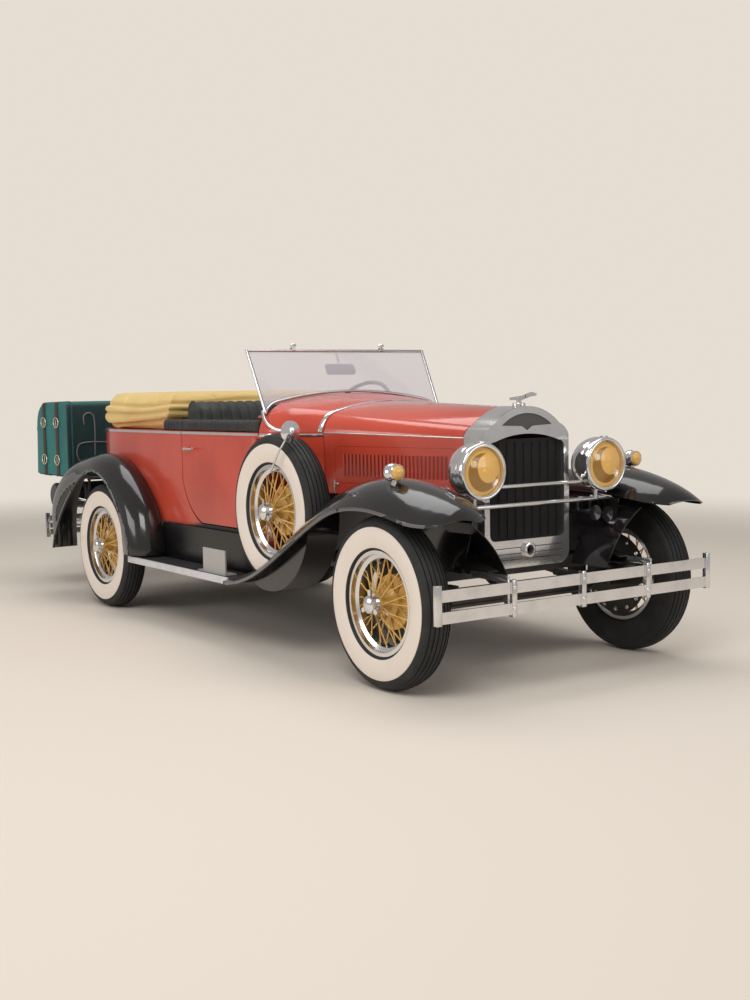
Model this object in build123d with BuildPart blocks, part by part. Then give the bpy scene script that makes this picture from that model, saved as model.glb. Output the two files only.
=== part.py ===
"""Open two-seat roadster of about 1930: separate frame, wire wheels, side-mounted spares, rear trunk.

Millimetres. +X is the car's left, +Y is rearwards, +Z is up. The origin is on the ground, under the middle
of the overall length. Distances along the car are given from the front axle and go through at_y().
"""

import os
from math import acos, cos, degrees, radians, sin, tan

from build123d import *

os.makedirs("parts", exist_ok=True)

# Driving dimensions of the whole car
wheelbase = 2990
front_overhang = 460
rear_overhang = 1570
half_track = 727
tyre_radius = 385
tyre_width = 150
fender_outer = 832
fender_crown = fender_outer - 132
rim_radius = 222
belt_height = 1100
sill_height = 560
fit = 0.3
panel_gap = 7
pin_clearance = 0.05

# Places along the car, from the front axle
radiator_front = -90
radiator_back = 55
hood_front = radiator_back + panel_gap
hood_rear = 959
cowl_front = hood_rear + panel_gap
cowl_rear = 1328
door_rear = 2168
tail_end = 3680

front_axle_y = front_overhang - (front_overhang + wheelbase + rear_overhang) / 2


def at_y(distance):
    """Place along the car, in the part's frame, of a distance behind the front axle."""
    return front_axle_y + distance


def save(shape, name):
    """Labels a finished piece and writes its file."""
    shape.label = name
    export_step(shape, f"parts/{name}.step")


def both_sides(shape):
    """A left-hand piece and its mirror image on the right, as one node."""
    return Compound(children=[*shape.solids(), *mirror(shape, about=Plane.YZ).solids()])


def block(low, high, mode=Mode.ADD):
    """Adds a plain block between two corners to the piece being built."""
    size = [b - a for a, b in zip(low, high)]
    with Locations(tuple((a + b) / 2 for a, b in zip(low, high))):
        Box(*size, mode=mode)


def bar(start, end, radius, mode=Mode.ADD):
    """Adds a straight round bar between two points to the piece being built."""
    run = Vector(*end) - Vector(*start)
    with BuildSketch(Plane(origin=start, z_dir=run)) as section:
        Circle(radius)
    extrude(section.sketch, amount=run.length, mode=mode)


def dome_middle(rim_radius, rise):
    """Halfway point of a dome's outline, centred on its axis: distance from the axis and drop from the peak."""
    ball = (rim_radius**2 + rise**2) / (2 * rise)
    half_angle = acos((ball - rise) / ball) / 2
    return ball * sin(half_angle), ball * (1 - cos(half_angle))


def bent_bar(points, bend, radius, mode=Mode.ADD):
    """Adds a round bar along straight runs with rounded corners."""
    with BuildLine() as path:
        FilletPolyline(*points, radius=bend)
    with BuildSketch(Plane(origin=path.line @ 0, z_dir=path.line % 0)) as section:
        Circle(radius)
    sweep(section.sketch, path=path.line, mode=mode)


# Tyre: a crowned tread over bulging side walls, seated on the rim
bead_half = 50
lip_height = 10
lip_thick = 5

with BuildPart() as tyre_form:
    with BuildSketch(Plane.XY):
        with BuildLine():
            seat = rim_radius + fit
            notch = bead_half - fit
            shoulder_x, shoulder_r = tyre_width / 2 - 17, tyre_radius - 17
            foot_x, foot_r = bead_half + lip_thick + 5, seat + lip_height + 4
            Polyline((-foot_x, foot_r), (-notch, seat + lip_height + 1), (-notch, seat), (notch, seat))
            Polyline((notch, seat), (notch, seat + lip_height + 1), (foot_x, foot_r))
            ThreePointArc((foot_x, foot_r), (tyre_width / 2, tyre_radius - 80), (shoulder_x, shoulder_r))
            ThreePointArc((shoulder_x, shoulder_r), (0, tyre_radius), (-shoulder_x, shoulder_r))
            ThreePointArc((-shoulder_x, shoulder_r), (-tyre_width / 2, tyre_radius - 80), (-foot_x, foot_r))
        make_face()
    revolve(axis=Axis.X)

# Wire wheel: drop-centre rim, hub barrel, two rows of crossed spokes, brake drum and knock-off nut
well_radius = rim_radius - 20
rim_wall = 6
journal_radius = 18
hub_bore = journal_radius + pin_clearance
hub_inner, hub_outer = -62, 76
cap_end = 122
spokes_per_row = 20
spoke_radius = 3.2
drum_radius = 122
drum_face = -18

with BuildPart() as wheel_form:
    with BuildSketch(Plane.XY):
        with BuildLine():
            Polyline(
                (-bead_half - lip_thick, rim_radius + lip_height),
                (-bead_half, rim_radius + lip_height),
                (-bead_half, rim_radius),
                (-28, rim_radius - 2),
                (-20, well_radius),
                (20, well_radius),
                (28, rim_radius - 2),
                (bead_half, rim_radius),
                (bead_half, rim_radius + lip_height),
                (bead_half + lip_thick, rim_radius + lip_height),
                (bead_half + lip_thick, rim_radius - rim_wall),
                (33, rim_radius - 2 - rim_wall),
                (25, well_radius - rim_wall),
                (-25, well_radius - rim_wall),
                (-33, rim_radius - 2 - rim_wall),
                (-bead_half - lip_thick, rim_radius - rim_wall),
                close=True,
            )
        make_face()
    with BuildSketch(Plane.XY):
        with BuildLine():
            Polyline(
                (hub_outer, hub_bore),
                (hub_inner, hub_bore),
                (hub_inner, drum_radius),
                (drum_face, drum_radius),
                (drum_face, 64),
                (drum_face + 16, 64),
                (drum_face + 24, 38),
                (hub_outer - 24, 34),
                (hub_outer - 16, 46),
                (hub_outer, 46),
                (hub_outer, 30),
                (cap_end - 30, 30),
                (cap_end - 30, 42),
                (cap_end - 12, 38),
            )
            dome_r, dome_drop = dome_middle(38, 12)
            ThreePointArc((cap_end - 12, 38), (cap_end - dome_drop, dome_r), (cap_end, 0))
            Polyline((cap_end, 0), (hub_outer, 0), (hub_outer, hub_bore))
        make_face()
        with BuildLine():
            Polyline(
                (hub_inner, 30),
                (hub_inner, drum_radius - 8),
                (drum_face - 8, drum_radius - 8),
                (drum_face - 8, 60),
                (drum_face - 20, 30),
                close=True,
            )
        make_face(mode=Mode.SUBTRACT)
    revolve(axis=Axis.X)
    # rows of spokes: hub x, hub radius, rim x, lean and phase in degrees, and the step between crossed spokes
    for hub_x, hub_r, rim_x, lean, phase, cross_step in ((71, 30, 12, 26, 0, 9), (-14, 52, -14, 22, 9, -9)):
        spokes = []
        for i in range(spokes_per_row):
            turn = 360 / spokes_per_row * i + phase
            odd = i % 2
            start = Vector(hub_x - odd * cross_step, 0, hub_r).rotate(Axis.X, turn + (lean if odd else -lean))
            end = Vector(rim_x - odd * cross_step, 0, well_radius - rim_wall + 3).rotate(Axis.X, turn)
            with BuildSketch(Plane(origin=start, z_dir=end - start), mode=Mode.PRIVATE) as spoke_end:
                Circle(spoke_radius)
            spokes.append(Solid.extrude(spoke_end.sketch.face(), end - start))
        add(spokes)
    # three ears of the knock-off nut
    with BuildSketch(Plane.YZ.offset(cap_end - 28)):
        with PolarLocations(48, 3, start_angle=90):
            Rectangle(34, 20)
    extrude(amount=10)


def place_wheel(form, distance, side, x=half_track, z=tyre_radius):
    """A wheel or tyre at its axle: side is 1 on the left and -1 on the right."""
    return Pos(side * x, at_y(distance), z) * Rot(0, 0, 0 if side > 0 else 180) * form.part


for axle, distance in (("front", 0), ("rear", wheelbase)):
    for side_name, side in (("left", 1), ("right", -1)):
        save(place_wheel(tyre_form, distance, side), f"tyre_{axle}_{side_name}")
        save(place_wheel(wheel_form, distance, side), f"wheel_{axle}_{side_name}")

# Spare wheels: one standing in the well of each front fender
spare_x = fender_crown - 3
spare_y = 952
spare_z = 723

for form, name in ((tyre_form, "spare_tyres"), (wheel_form, "spare_wheels")):
    pair = [place_wheel(form, spare_y, side, spare_x, spare_z) for side in (1, -1)]
    save(Compound(children=[solid for wheel in pair for solid in wheel.solids()]), name)

# Frame rails: channel section with the web outboard, kicked up over the rear axle
rail_inner = 365
rail_outer = 420
rail_plate = 5
spring_pin_z = 466
spring_half = 350
spring_pin_radius = 12
rear_spring_half = 450
rear_spring_pin_z = 396
# distance from the front axle, middle height, half depth
rail_stations = (
    (-310, 505, 18),
    (-150, 530, 30),
    (0, 545, 45),
    (450, 540, 50),
    (800, 505, 55),
    (2350, 505, 55),
    (2750, 570, 50),
    (3000, 585, 45),
    (3500, 580, 40),
    (4165, 560, 32),
)
# distance along, bottom, top of each cross member, and its length along the car
cross_members = ((20, 447, 486, 80), (1250, 445, 472, 70), (2300, 505, 550, 70), (3350, 545, 605, 70), (4120, 535, 585, 50))


def rail_outline(inset):
    """Side view of a rail as a closed line, its plates drawn inwards by the inset."""
    top = [(at_y(y), z + half - inset) for y, z, half in rail_stations]
    bottom = [(at_y(y), z - half + inset) for y, z, half in reversed(rail_stations)]
    Polyline(*top, *bottom, close=True)


def rail_height(distance):
    """Middle height and half depth of the rail at a place along the car."""
    for (y0, z0, h0), (y1, z1, h1) in zip(rail_stations, rail_stations[1:]):
        if y0 <= distance <= y1:
            share = (distance - y0) / (y1 - y0)
            return z0 + share * (z1 - z0), h0 + share * (h1 - h0)
    raise ValueError("no rail there")


def rail_top(distance):
    """Top of the rail at a place along the car."""
    middle, half = rail_height(distance)
    return middle + half


def rail_bottom(distance):
    """Bottom of the rail at a place along the car."""
    middle, half = rail_height(distance)
    return middle - half


with BuildPart() as chassis_frame:
    with BuildSketch(Plane.YZ.offset(rail_inner)):
        with BuildLine():
            rail_outline(0)
        make_face()
    extrude(amount=rail_outer - rail_inner)
    with BuildSketch(Plane.YZ.offset(rail_inner)):
        with BuildLine():
            rail_outline(rail_plate)
        make_face()
    extrude(amount=rail_outer - rail_inner - rail_plate, mode=Mode.SUBTRACT)
    # horn and shackle plates that carry the ends of the springs
    for y, z, rail_z in (
        (-spring_half, spring_pin_z, 500),
        (spring_half, spring_pin_z, 500),
        (wheelbase - rear_spring_half, rear_spring_pin_z, 500),
        (wheelbase + rear_spring_half, rear_spring_pin_z, 560),
    ):
        with BuildSketch(Plane.YZ.offset(rail_outer - rail_plate)):
            with BuildLine():
                rail_y = at_y(max(y, -310 + 20))
                Polyline(
                    (at_y(y) - 22, z),
                    (rail_y - 24, rail_z),
                    (rail_y + 24, rail_z),
                    (at_y(y) + 22, z),
                    close=True,
                )
            make_face()
            with Locations((at_y(y), z)):
                Circle(22)
        extrude(amount=rail_plate)
        bar((rail_outer - rail_plate, at_y(y), z), (rail_inner, at_y(y), z), spring_pin_radius)
    mirror(about=Plane.YZ)
    for y, bottom, top, length in cross_members:
        block((-rail_outer + 1, at_y(y) - length / 2, bottom), (rail_outer - 1, at_y(y) + length / 2, top))
    # drops that hang the front cross member under the radiator
    for side in (-1, 1):
        inner, outer = sorted((side * 275, side * (rail_outer - 1)))
        block((inner, at_y(20) - 40, 480), (outer, at_y(20) + 40, 510))

save(chassis_frame.part, "chassis_frame")

# Leaf springs: arched leaves of falling length, the main leaf rolled into an eye at each end
leaf_thick = 8
leaf_count = 5
spring_width = 44
spring_x = (rail_inner + rail_outer - rail_plate) / 2 - 1
eye_radius = 19
front_pad_z = 376
rear_pad_z = 336


def leaf_spring(distance, half_length, pin_z, lowest, clamp_below, clamp_above):
    """One pack of leaves from its lowest height up, with the clamp that holds it to the axle."""
    main_low = lowest + leaf_thick * (leaf_count - 1)
    pin_rise = pin_z - eye_radius + leaf_thick - main_low - leaf_thick
    arc_radius = (half_length**2 + pin_rise**2) / (2 * pin_rise)
    centre_z = main_low + arc_radius
    with BuildPart() as spring:
        with BuildSketch(Plane.YZ.offset(spring_x - spring_width / 2)):
            for i in range(leaf_count):
                outer = arc_radius + leaf_thick * i
                reach = (half_length - 8) * (1 - 0.19 * i)
                angle = degrees(reach / outer)
                with BuildLine():
                    low = CenterArc((at_y(distance), centre_z), outer, 270 - angle, 2 * angle)
                    high = CenterArc((at_y(distance), centre_z), outer - leaf_thick, 270 - angle, 2 * angle)
                    Line(low @ 0, high @ 0)
                    Line(low @ 1, high @ 1)
                make_face()
            with Locations((at_y(distance - half_length), pin_z), (at_y(distance + half_length), pin_z)):
                Circle(eye_radius)
            with Locations((at_y(distance - half_length), pin_z), (at_y(distance + half_length), pin_z)):
                Circle(spring_pin_radius + fit, mode=Mode.SUBTRACT)
        extrude(amount=spring_width)
        low = (spring_x - 26, at_y(distance) - 32, lowest - clamp_below)
        block(low, (spring_x + 26, at_y(distance) + 32, main_low + leaf_thick + clamp_above))
    return spring.part


clamp = 9
front_spring = leaf_spring(0, spring_half, spring_pin_z, front_pad_z, 0, clamp)
rear_spring = leaf_spring(wheelbase, rear_spring_half, rear_spring_pin_z, rear_pad_z - leaf_count * leaf_thick, clamp, 0)
springs = [*both_sides(front_spring).solids(), *both_sides(rear_spring).solids()]
save(Compound(children=springs), "leaf_springs")

# Front axle: a forged beam between eyes that take the kingpins
kingpin_x = 597
kingpin_radius = 11
eye_half = 30
beam_mid_z = 345
beam_half = 24

with BuildPart() as front_axle:
    beam = [(0, beam_mid_z), (450, beam_mid_z), (545, tyre_radius), (kingpin_x, tyre_radius)]
    with BuildSketch(Plane.XZ.offset(-at_y(0) - 21)):
        with BuildLine():
            Polyline(*[(x, z + beam_half) for x, z in beam], *[(x, z - beam_half) for x, z in reversed(beam)], close=True)
        make_face()
    extrude(amount=42)
    with BuildSketch(Plane.XZ.offset(-at_y(0) - 21)):
        with BuildLine():
            flute = [(-5, beam_mid_z), (440, beam_mid_z), (530, tyre_radius - 4)]
            Polyline(*[(x, z + 12) for x, z in flute], *[(x, z - 12) for x, z in reversed(flute)], close=True)
        make_face()
    extrude(amount=14, mode=Mode.SUBTRACT)
    with BuildSketch(Plane.XZ.offset(-at_y(0) + 7)):
        with BuildLine():
            Polyline(*[(x, z + 12) for x, z in flute], *[(x, z - 12) for x, z in reversed(flute)], close=True)
        make_face()
    extrude(amount=14, mode=Mode.SUBTRACT)
    with Locations((kingpin_x, at_y(0), tyre_radius)):
        Cylinder(28, 2 * eye_half)
    with Locations((kingpin_x, at_y(0), tyre_radius)):
        Cylinder(kingpin_radius + fit, 2 * eye_half + 2, mode=Mode.SUBTRACT)
    block((spring_x - 26, at_y(0) - 45, beam_mid_z), (spring_x + 26, at_y(0) + 45, front_pad_z))
    mirror(about=Plane.YZ)

save(front_axle.part, "front_axle")

# Steering knuckle: a yoke over the axle eye, its kingpin, stub axle, brake plate and steering arm
plate_inner, plate_outer = 651, 655
plate_radius = 200
yoke_gap = 1
steering_arm = 150
track_rod_z = 372
rod_pin_radius = 8

with BuildPart() as knuckle:
    for low, high in ((eye_half + yoke_gap, eye_half + 19), (-eye_half - 19, -eye_half - yoke_gap)):
        with BuildSketch(Plane.XY.offset(tyre_radius + low)):
            with Locations((kingpin_x, at_y(0))):
                Circle(26)
            with Locations(((kingpin_x + plate_inner) / 2, at_y(0))):
                Rectangle(plate_inner - kingpin_x, 40)
        extrude(amount=high - low)
    block((kingpin_x + 33, at_y(0) - 30, tyre_radius - 49), (plate_inner, at_y(0) + 30, tyre_radius + 49))
    with Locations((kingpin_x, at_y(0), tyre_radius)):
        Cylinder(kingpin_radius, 2 * eye_half + 46)
    bar((plate_inner - 4, at_y(0), tyre_radius), (half_track + hub_outer - 5, at_y(0), tyre_radius), journal_radius)
    with BuildSketch(Plane.YZ.offset(plate_inner)):
        with Locations((at_y(0), tyre_radius)):
            Circle(plate_radius)
    extrude(amount=plate_outer - plate_inner)
    # steering arm, swept back from the foot of the yoke to the track rod's pin
    with BuildSketch(Plane.XY.offset(track_rod_z - 42)):
        with BuildLine():
            Polyline(
                (kingpin_x + 34, at_y(0)),
                (kingpin_x + 34, at_y(60)),
                (kingpin_x + 12, at_y(steering_arm)),
                (kingpin_x - 12, at_y(steering_arm)),
                (kingpin_x + 4, at_y(50)),
                (kingpin_x + 4, at_y(0)),
                close=True,
            )
        make_face()
        with Locations((kingpin_x, at_y(steering_arm))):
            Circle(17)
    extrude(amount=16)
    with Locations((kingpin_x, at_y(steering_arm), track_rod_z - 8)):
        Cylinder(rod_pin_radius, 52)

save(knuckle.part, "knuckle_left")
save(mirror(knuckle.part, about=Plane.YZ), "knuckle_right")

# Track rod: ties the two steering arms together behind the axle
with BuildPart() as track_rod:
    bar((-kingpin_x + 20, at_y(steering_arm), track_rod_z), (kingpin_x - 20, at_y(steering_arm), track_rod_z), 10)
    for x in (-kingpin_x, kingpin_x):
        with Locations((x, at_y(steering_arm), track_rod_z)):
            Cylinder(22, 24)
    with Locations((kingpin_x, at_y(steering_arm), track_rod_z)):
        Cylinder(rod_pin_radius + fit, 30, mode=Mode.SUBTRACT)
    with Locations((-kingpin_x, at_y(steering_arm), track_rod_z)):
        Cylinder(rod_pin_radius + 3, 30, mode=Mode.SUBTRACT)

save(track_rod.part, "track_rod")

# Rear axle: banjo housing, brake plates, axle ends and the torque tube that runs forward to the gearbox
axle_tube = 36
gearbox_rear_y = 1180
gearbox_z = 520

with BuildPart() as rear_axle:
    bar((-plate_inner, at_y(wheelbase), tyre_radius), (plate_inner, at_y(wheelbase), tyre_radius), axle_tube)
    with Locations((0, at_y(wheelbase), tyre_radius)):
        Sphere(132)
    tube_front = (0, at_y(gearbox_rear_y) + 3, gearbox_z)
    tube_rear = (0, at_y(wheelbase) - 60, tyre_radius)
    bar(tube_front, tube_rear, 34)
    for side in (-1, 1):
        with BuildSketch(Plane.YZ.offset(side * (plate_inner + plate_outer) / 2)):
            with Locations((at_y(wheelbase), tyre_radius)):
                Circle(plate_radius)
        extrude(amount=(plate_outer - plate_inner) / 2, both=True)
        end = side * (half_track + hub_outer - 5)
        bar((side * (plate_inner - 4), at_y(wheelbase), tyre_radius), (end, at_y(wheelbase), tyre_radius), journal_radius)
        low = (side * spring_x - 26, at_y(wheelbase) - 30, rear_pad_z + fit)
        block(low, (side * spring_x + 26, at_y(wheelbase) + 30, tyre_radius))

save(rear_axle.part, "rear_axle")

# Engine and gearbox: one plain block with the gearbox behind it, on the frame
with BuildPart() as engine_block:
    block((-150, at_y(190), 500), (150, at_y(880), 960))
    block((-120, at_y(880), 440), (120, at_y(gearbox_rear_y), 555))
    block((-rail_outer + rail_plate, at_y(780), 500), (rail_outer - rail_plate, at_y(840), 548))

save(engine_block.part, "engine_block")

# Exhaust: down pipe, silencer and tail pipe under the right-hand rail
exhaust_x = -255
with BuildPart() as exhaust:
    bent_bar(
        (
            (-150 - fit, at_y(560), 780),
            (exhaust_x, at_y(560), 780),
            (exhaust_x, at_y(700), 420),
            (exhaust_x, at_y(1500), 400),
        ),
        60,
        24,
    )
    with BuildSketch(Plane.XZ.offset(-at_y(1500))):
        with Locations((exhaust_x, 400)):
            Ellipse(70, 52)
    extrude(amount=-560)
    bent_bar(
        (
            (exhaust_x, at_y(2055), 400),
            (exhaust_x, at_y(2500), 400),
            (exhaust_x, at_y(2700), 485),
            (exhaust_x, at_y(3250), 485),
            (exhaust_x, at_y(3450), 400),
            (exhaust_x, at_y(4380), 400),
        ),
        60,
        20,
    )

save(exhaust.part, "exhaust")

# Front fenders: a crowned skin with a turned-down edge, lofted through stations along the crown
fender_skin = 5
edge_width = 10
edge_depth = 15
ledge_x = 440
# distance, crown height, slope in degrees, inner x, crown x, outer x, inner drop, outer drop
front_fender_stations = (
    (-455, 772, 50, 560, fender_crown - 10, fender_outer - 42, 25, 26),
    (-395, 824, 30, 480, fender_crown - 5, fender_outer - 10, 62, 78),
    (-260, 872, 17, 450, fender_crown, fender_outer, 88, 108),
    (-80, 908, 5, ledge_x, fender_crown, fender_outer, 104, 114),
    (100, 913, -2, ledge_x, fender_crown, fender_outer, 104, 112),
    (280, 885, -14, ledge_x, fender_crown, fender_outer, 96, 106),
    (470, 808, -26, ledge_x, fender_crown, fender_outer, 84, 98),
    (680, 692, -31, ledge_x, fender_crown + 5, fender_outer, 70, 92),
    (900, 555, -30, ledge_x, fender_crown + 5, fender_outer, 56, 78),
    (1110, 440, -23, ledge_x, fender_crown + 5, fender_outer, 40, 56),
    (1340, 365, -8, ledge_x, fender_crown, fender_outer, 14, 22),
)
well_first = 4
well_skin = 6
well_gap = 6


def fender_section(x_in, x_crown, x_out, drop_in, drop_out):
    """Cross-section of a fender: an arched skin with a deeper rolled edge on its outer side."""
    with BuildLine() as outline:
        ThreePointArc((x_in, -drop_in), (x_crown, 0), (x_out, -drop_out))
        Polyline(
            (x_out, -drop_out),
            (x_out, -drop_out - edge_depth),
            (x_out - edge_width, -drop_out - edge_depth),
            (x_out - edge_width, -drop_out - 2),
        )
        ThreePointArc(
            (x_out - edge_width, -drop_out - 2), (x_crown, -fender_skin), (x_in + fender_skin, -drop_in - fender_skin)
        )
        Line((x_in + fender_skin, -drop_in - fender_skin), (x_in, -drop_in))
    make_face(outline.line)


def fill_section(x_in, x_crown, x_out, drop_in, drop_out):
    """The same section filled down below the skin, to trim what ends under it."""
    with BuildLine() as outline:
        ThreePointArc((x_in, -drop_in), (x_crown, -fender_skin / 2), (x_out, -drop_out))
        Polyline((x_out, -drop_out), (x_out, -300), (x_in, -300), (x_in, -drop_in))
    make_face(outline.line)


def station_plane(y, z, slope):
    """Upright plane across the car, square to the fender's crown."""
    pitch = radians(slope)
    return Plane(origin=(0, at_y(y), z), x_dir=(1, 0, 0), z_dir=(0, -cos(pitch), -sin(pitch)))


def well_drum(radius, margin, mode=Mode.ADD):
    """Adds the drum that a spare wheel takes up in its well, larger by the margin at each side."""
    with BuildSketch(Plane.YZ.offset(spare_x - tyre_width / 2 - margin)) as disc:
        with Locations((at_y(spare_y), spare_z)):
            Circle(radius)
    extrude(disc.sketch, amount=tyre_width + 2 * margin, mode=mode)


with BuildPart() as spare_well:
    for y, z, slope, *widths in front_fender_stations[well_first:]:
        with BuildSketch(station_plane(y, z, slope)):
            fill_section(*widths)
    loft()
    well_drum(tyre_radius + fit + well_skin, well_gap + well_skin, Mode.INTERSECT)

with BuildPart() as front_fender:
    for y, z, slope, *widths in front_fender_stations:
        with BuildSketch(station_plane(y, z, slope)):
            fender_section(*widths)
    loft()
    add(spare_well.part)
    well_drum(tyre_radius + fit, well_gap, Mode.SUBTRACT)

save(both_sides(front_fender.part), "front_fenders")

# Rear fenders: stations on half planes that turn about the rear axle, from the running board to the tail
rear_fender_inner = 630.3
# angle above the forward direction, crown radius, outer edge radius
rear_fender_stations = (
    (-2, 577, 404),
    (22, 566, 404),
    (42, 541, 408),
    (62, 535, 420),
    (84, 557, 447),
    (102, 583, 463),
    (120, 628, 476),
    (136, 706, 492),
    (150, 775, 530),
    (164, 828, 600),
    (176, 845, 680),
    (186, 846, 745),
)

with BuildPart() as rear_fender:
    for angle, crown, edge in rear_fender_stations:
        turn = radians(angle)
        outward = (0, -cos(turn), sin(turn))
        along = (0, sin(turn), cos(turn))
        half_plane = Plane(origin=(0, at_y(wheelbase), tyre_radius), x_dir=(1, 0, 0), z_dir=tuple(-a for a in along))
        with BuildSketch(half_plane) as section:
            with BuildLine():
                ThreePointArc((rear_fender_inner, crown - 22), (fender_crown - 10, crown - 4), (fender_outer - 6, edge + edge_depth))
                Polyline(
                    (fender_outer - 6, edge + edge_depth),
                    (fender_outer - 6, edge),
                    (fender_outer - 6 - edge_width, edge),
                    (fender_outer - 6 - edge_width, edge + edge_depth - 3),
                )
                ThreePointArc(
                    (fender_outer - 6 - edge_width, edge + edge_depth - 3),
                    (fender_crown - 10, crown - 4 - fender_skin),
                    (rear_fender_inner, crown - 22 - fender_skin),
                )
                Line((rear_fender_inner, crown - 22 - fender_skin), (rear_fender_inner, crown - 22))
            make_face()
    loft()

save(both_sides(rear_fender.part), "rear_fenders")

# Splash aprons: hood ledge, fender skirt, baffle beside the radiator and the curved apron ahead of it
ledge_z = 790
ledge_plate = 4

skirt_x = ledge_x - fit
baffle_y = -62
shell_half = 256

with BuildPart() as hood_ledge:
    with BuildSketch(Plane.XY.offset(ledge_z - ledge_plate)):
        with BuildLine():
            Polyline(
                (240, at_y(hood_front)),
                (skirt_x, at_y(hood_front)),
                (skirt_x, at_y(cowl_front) - 1),
                (400, at_y(cowl_front) - 1),
                close=True,
            )
        make_face()
    extrude(amount=ledge_plate)
    with BuildSketch(Plane.YZ.offset(skirt_x - ledge_plate)):
        with BuildLine():
            Polyline(
                (at_y(-234), 783.5),
                (at_y(-80), 799.5),
                (at_y(100), 804.5),
                (at_y(280), ledge_z),
                (at_y(cowl_front) - 1, ledge_z),
                (at_y(cowl_front) - 1, 500),
                (at_y(-150), 500),
            )
            ThreePointArc((at_y(-150), 500), (at_y(-205), 640), (at_y(-234), 783.5))
        make_face()
    extrude(amount=ledge_plate)
    block((shell_half + fit, at_y(baffle_y) - 2, 592), (skirt_x - 1, at_y(baffle_y) + 2, ledge_z))
    low = (shell_half + fit, at_y(baffle_y) - 2, ledge_z - ledge_plate)
    block(low, (skirt_x - 1, at_y(hood_front) + 1, ledge_z))
    with BuildSketch(Plane.XZ.offset(-at_y(-300))):
        with BuildLine():
            outer = ThreePointArc((522, 738), (384, 620), (299, 474))
            inner = ThreePointArc((518, 741), (380, 623), (295, 474))
            Line(outer @ 0, inner @ 0)
            Line(outer @ 1, inner @ 1)
        make_face()
    extrude(amount=-(baffle_y + 300))

save(both_sides(hood_ledge.part), "hood_ledges")

# Running boards with their bright-edged deck, the valance behind them and a step plate
board_inner, board_outer = 629, fender_outer - 32
board_top = 352
board_thick = 30
board_front, board_rear = 1343, 2585
valance = 3.5

with BuildPart() as running_board:
    block((board_inner, at_y(board_front), board_top - board_thick), (board_outer, at_y(board_rear), board_top))
    with BuildSketch(Plane.YZ.offset(rear_fender_inner - fit - valance)):
        with BuildLine():
            Polyline(
                (at_y(board_front), board_top - board_thick),
                (at_y(board_rear), board_top - board_thick),
                (at_y(board_rear), 420),
                (at_y(2440), sill_height - 1),
                (at_y(board_front), sill_height - 1),
                close=True,
            )
        make_face()
    extrude(amount=valance)
    for y in (1500, 1900, 2300):
        bar((rail_outer + fit, at_y(y), 480), (rear_fender_inner - 2, at_y(y), 480), 14)
    plate_edge = board_outer - 30
    block((plate_edge - 70, at_y(1430), board_top), (plate_edge, at_y(1740), board_top + 8))
    block((plate_edge - 12, at_y(1430), board_top), (plate_edge - 4, at_y(1680), board_top + 133))

save(both_sides(running_board.part), "running_boards")

# Hood and cowl cross-sections: a domed top, a rounded shoulder and a flat side on each half
hood_skin = 4
cowl_skin = 16
hinge_rod_radius = 5
hinge_gap = 0.5
belt_bead = 3
ridge_front = 1222
ridge_rear = 1254
cowl_ridge = 1300
hood_bottom = ledge_z + panel_gap
scuttle_rear = 1388
scuttle_low = 1178

# distance, ridge height, shoulder x and z, belt x and z, foot x
hood_rows = (
    (hood_front, ridge_front, 200, 1140, 252, 1088, 258),
    (hood_rear, ridge_rear, 352, 1204, 434, 1106, 425),
)
cowl_rows = (
    (cowl_front, ridge_rear, 352, 1204, 435, 1106, 425),
    (1140, 1282, 425, 1234, 548, 1106, 545),
    (cowl_rear, cowl_ridge, 470, 1252, 600, 1106, 606),
)


def arch_points(row, inset):
    """Points of one half of the domed top: ridge, crown, shoulder, bulge and belt."""
    _, ridge, shoulder_x, shoulder_z, belt_x, belt_z, _ = row
    ridge, belt_x = ridge - inset, belt_x - inset
    shoulder_x, shoulder_z = shoulder_x - 0.5 * inset, shoulder_z - 0.87 * inset
    crown = (0.55 * shoulder_x, ridge - 0.27 * (ridge - shoulder_z))
    bulge = (shoulder_x + 0.68 * (belt_x - shoulder_x), belt_z + 0.62 * (shoulder_z - belt_z))
    return (0, ridge), crown, (shoulder_x, shoulder_z), bulge, (belt_x, belt_z)


def half_arch(row, inset, first_x):
    """Two arcs from the ridge to the belt, started at the given distance from the centre line."""
    ridge, crown, shoulder, bulge, belt = arch_points(row, inset)
    ThreePointArc((first_x, ridge[1]), crown, shoulder)
    ThreePointArc(shoulder, bulge, belt)


def full_section(row, inset, bottom):
    """Closed section across the car: the whole arch over flat sides down to the bottom."""
    ridge, crown, shoulder, bulge, belt = arch_points(row, inset)
    foot_x = row[6] - inset
    with BuildLine() as outline:
        ThreePointArc((-shoulder[0], shoulder[1]), ridge, shoulder)
        ThreePointArc(shoulder, bulge, belt)
        Polyline(belt, (foot_x, bottom), (-foot_x, bottom), (-belt[0], belt[1]))
        ThreePointArc((-belt[0], belt[1]), (-bulge[0], bulge[1]), (-shoulder[0], shoulder[1]))
    make_face(outline.line)


def cowl_solid(inset, front, bottom):
    """Adds the filled cowl inside the outer surface drawn in by the inset, with its scuttle."""
    sections = []
    for row in cowl_rows:
        y = max(row[0], front)
        with BuildSketch(Plane.XZ.offset(-at_y(y))) as section:
            full_section(row, inset, bottom)
        sections.append(section.sketch)
    loft(sections)
    extrude(sections[-1], amount=-(scuttle_rear - cowl_rear))


# Hood: two top panels on a centre hinge, each carrying a louvred side panel on a belt hinge
louvre_count = 27
louvre_front, louvre_rear = 165, 825
louvre_low, louvre_high = 888, 998

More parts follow.
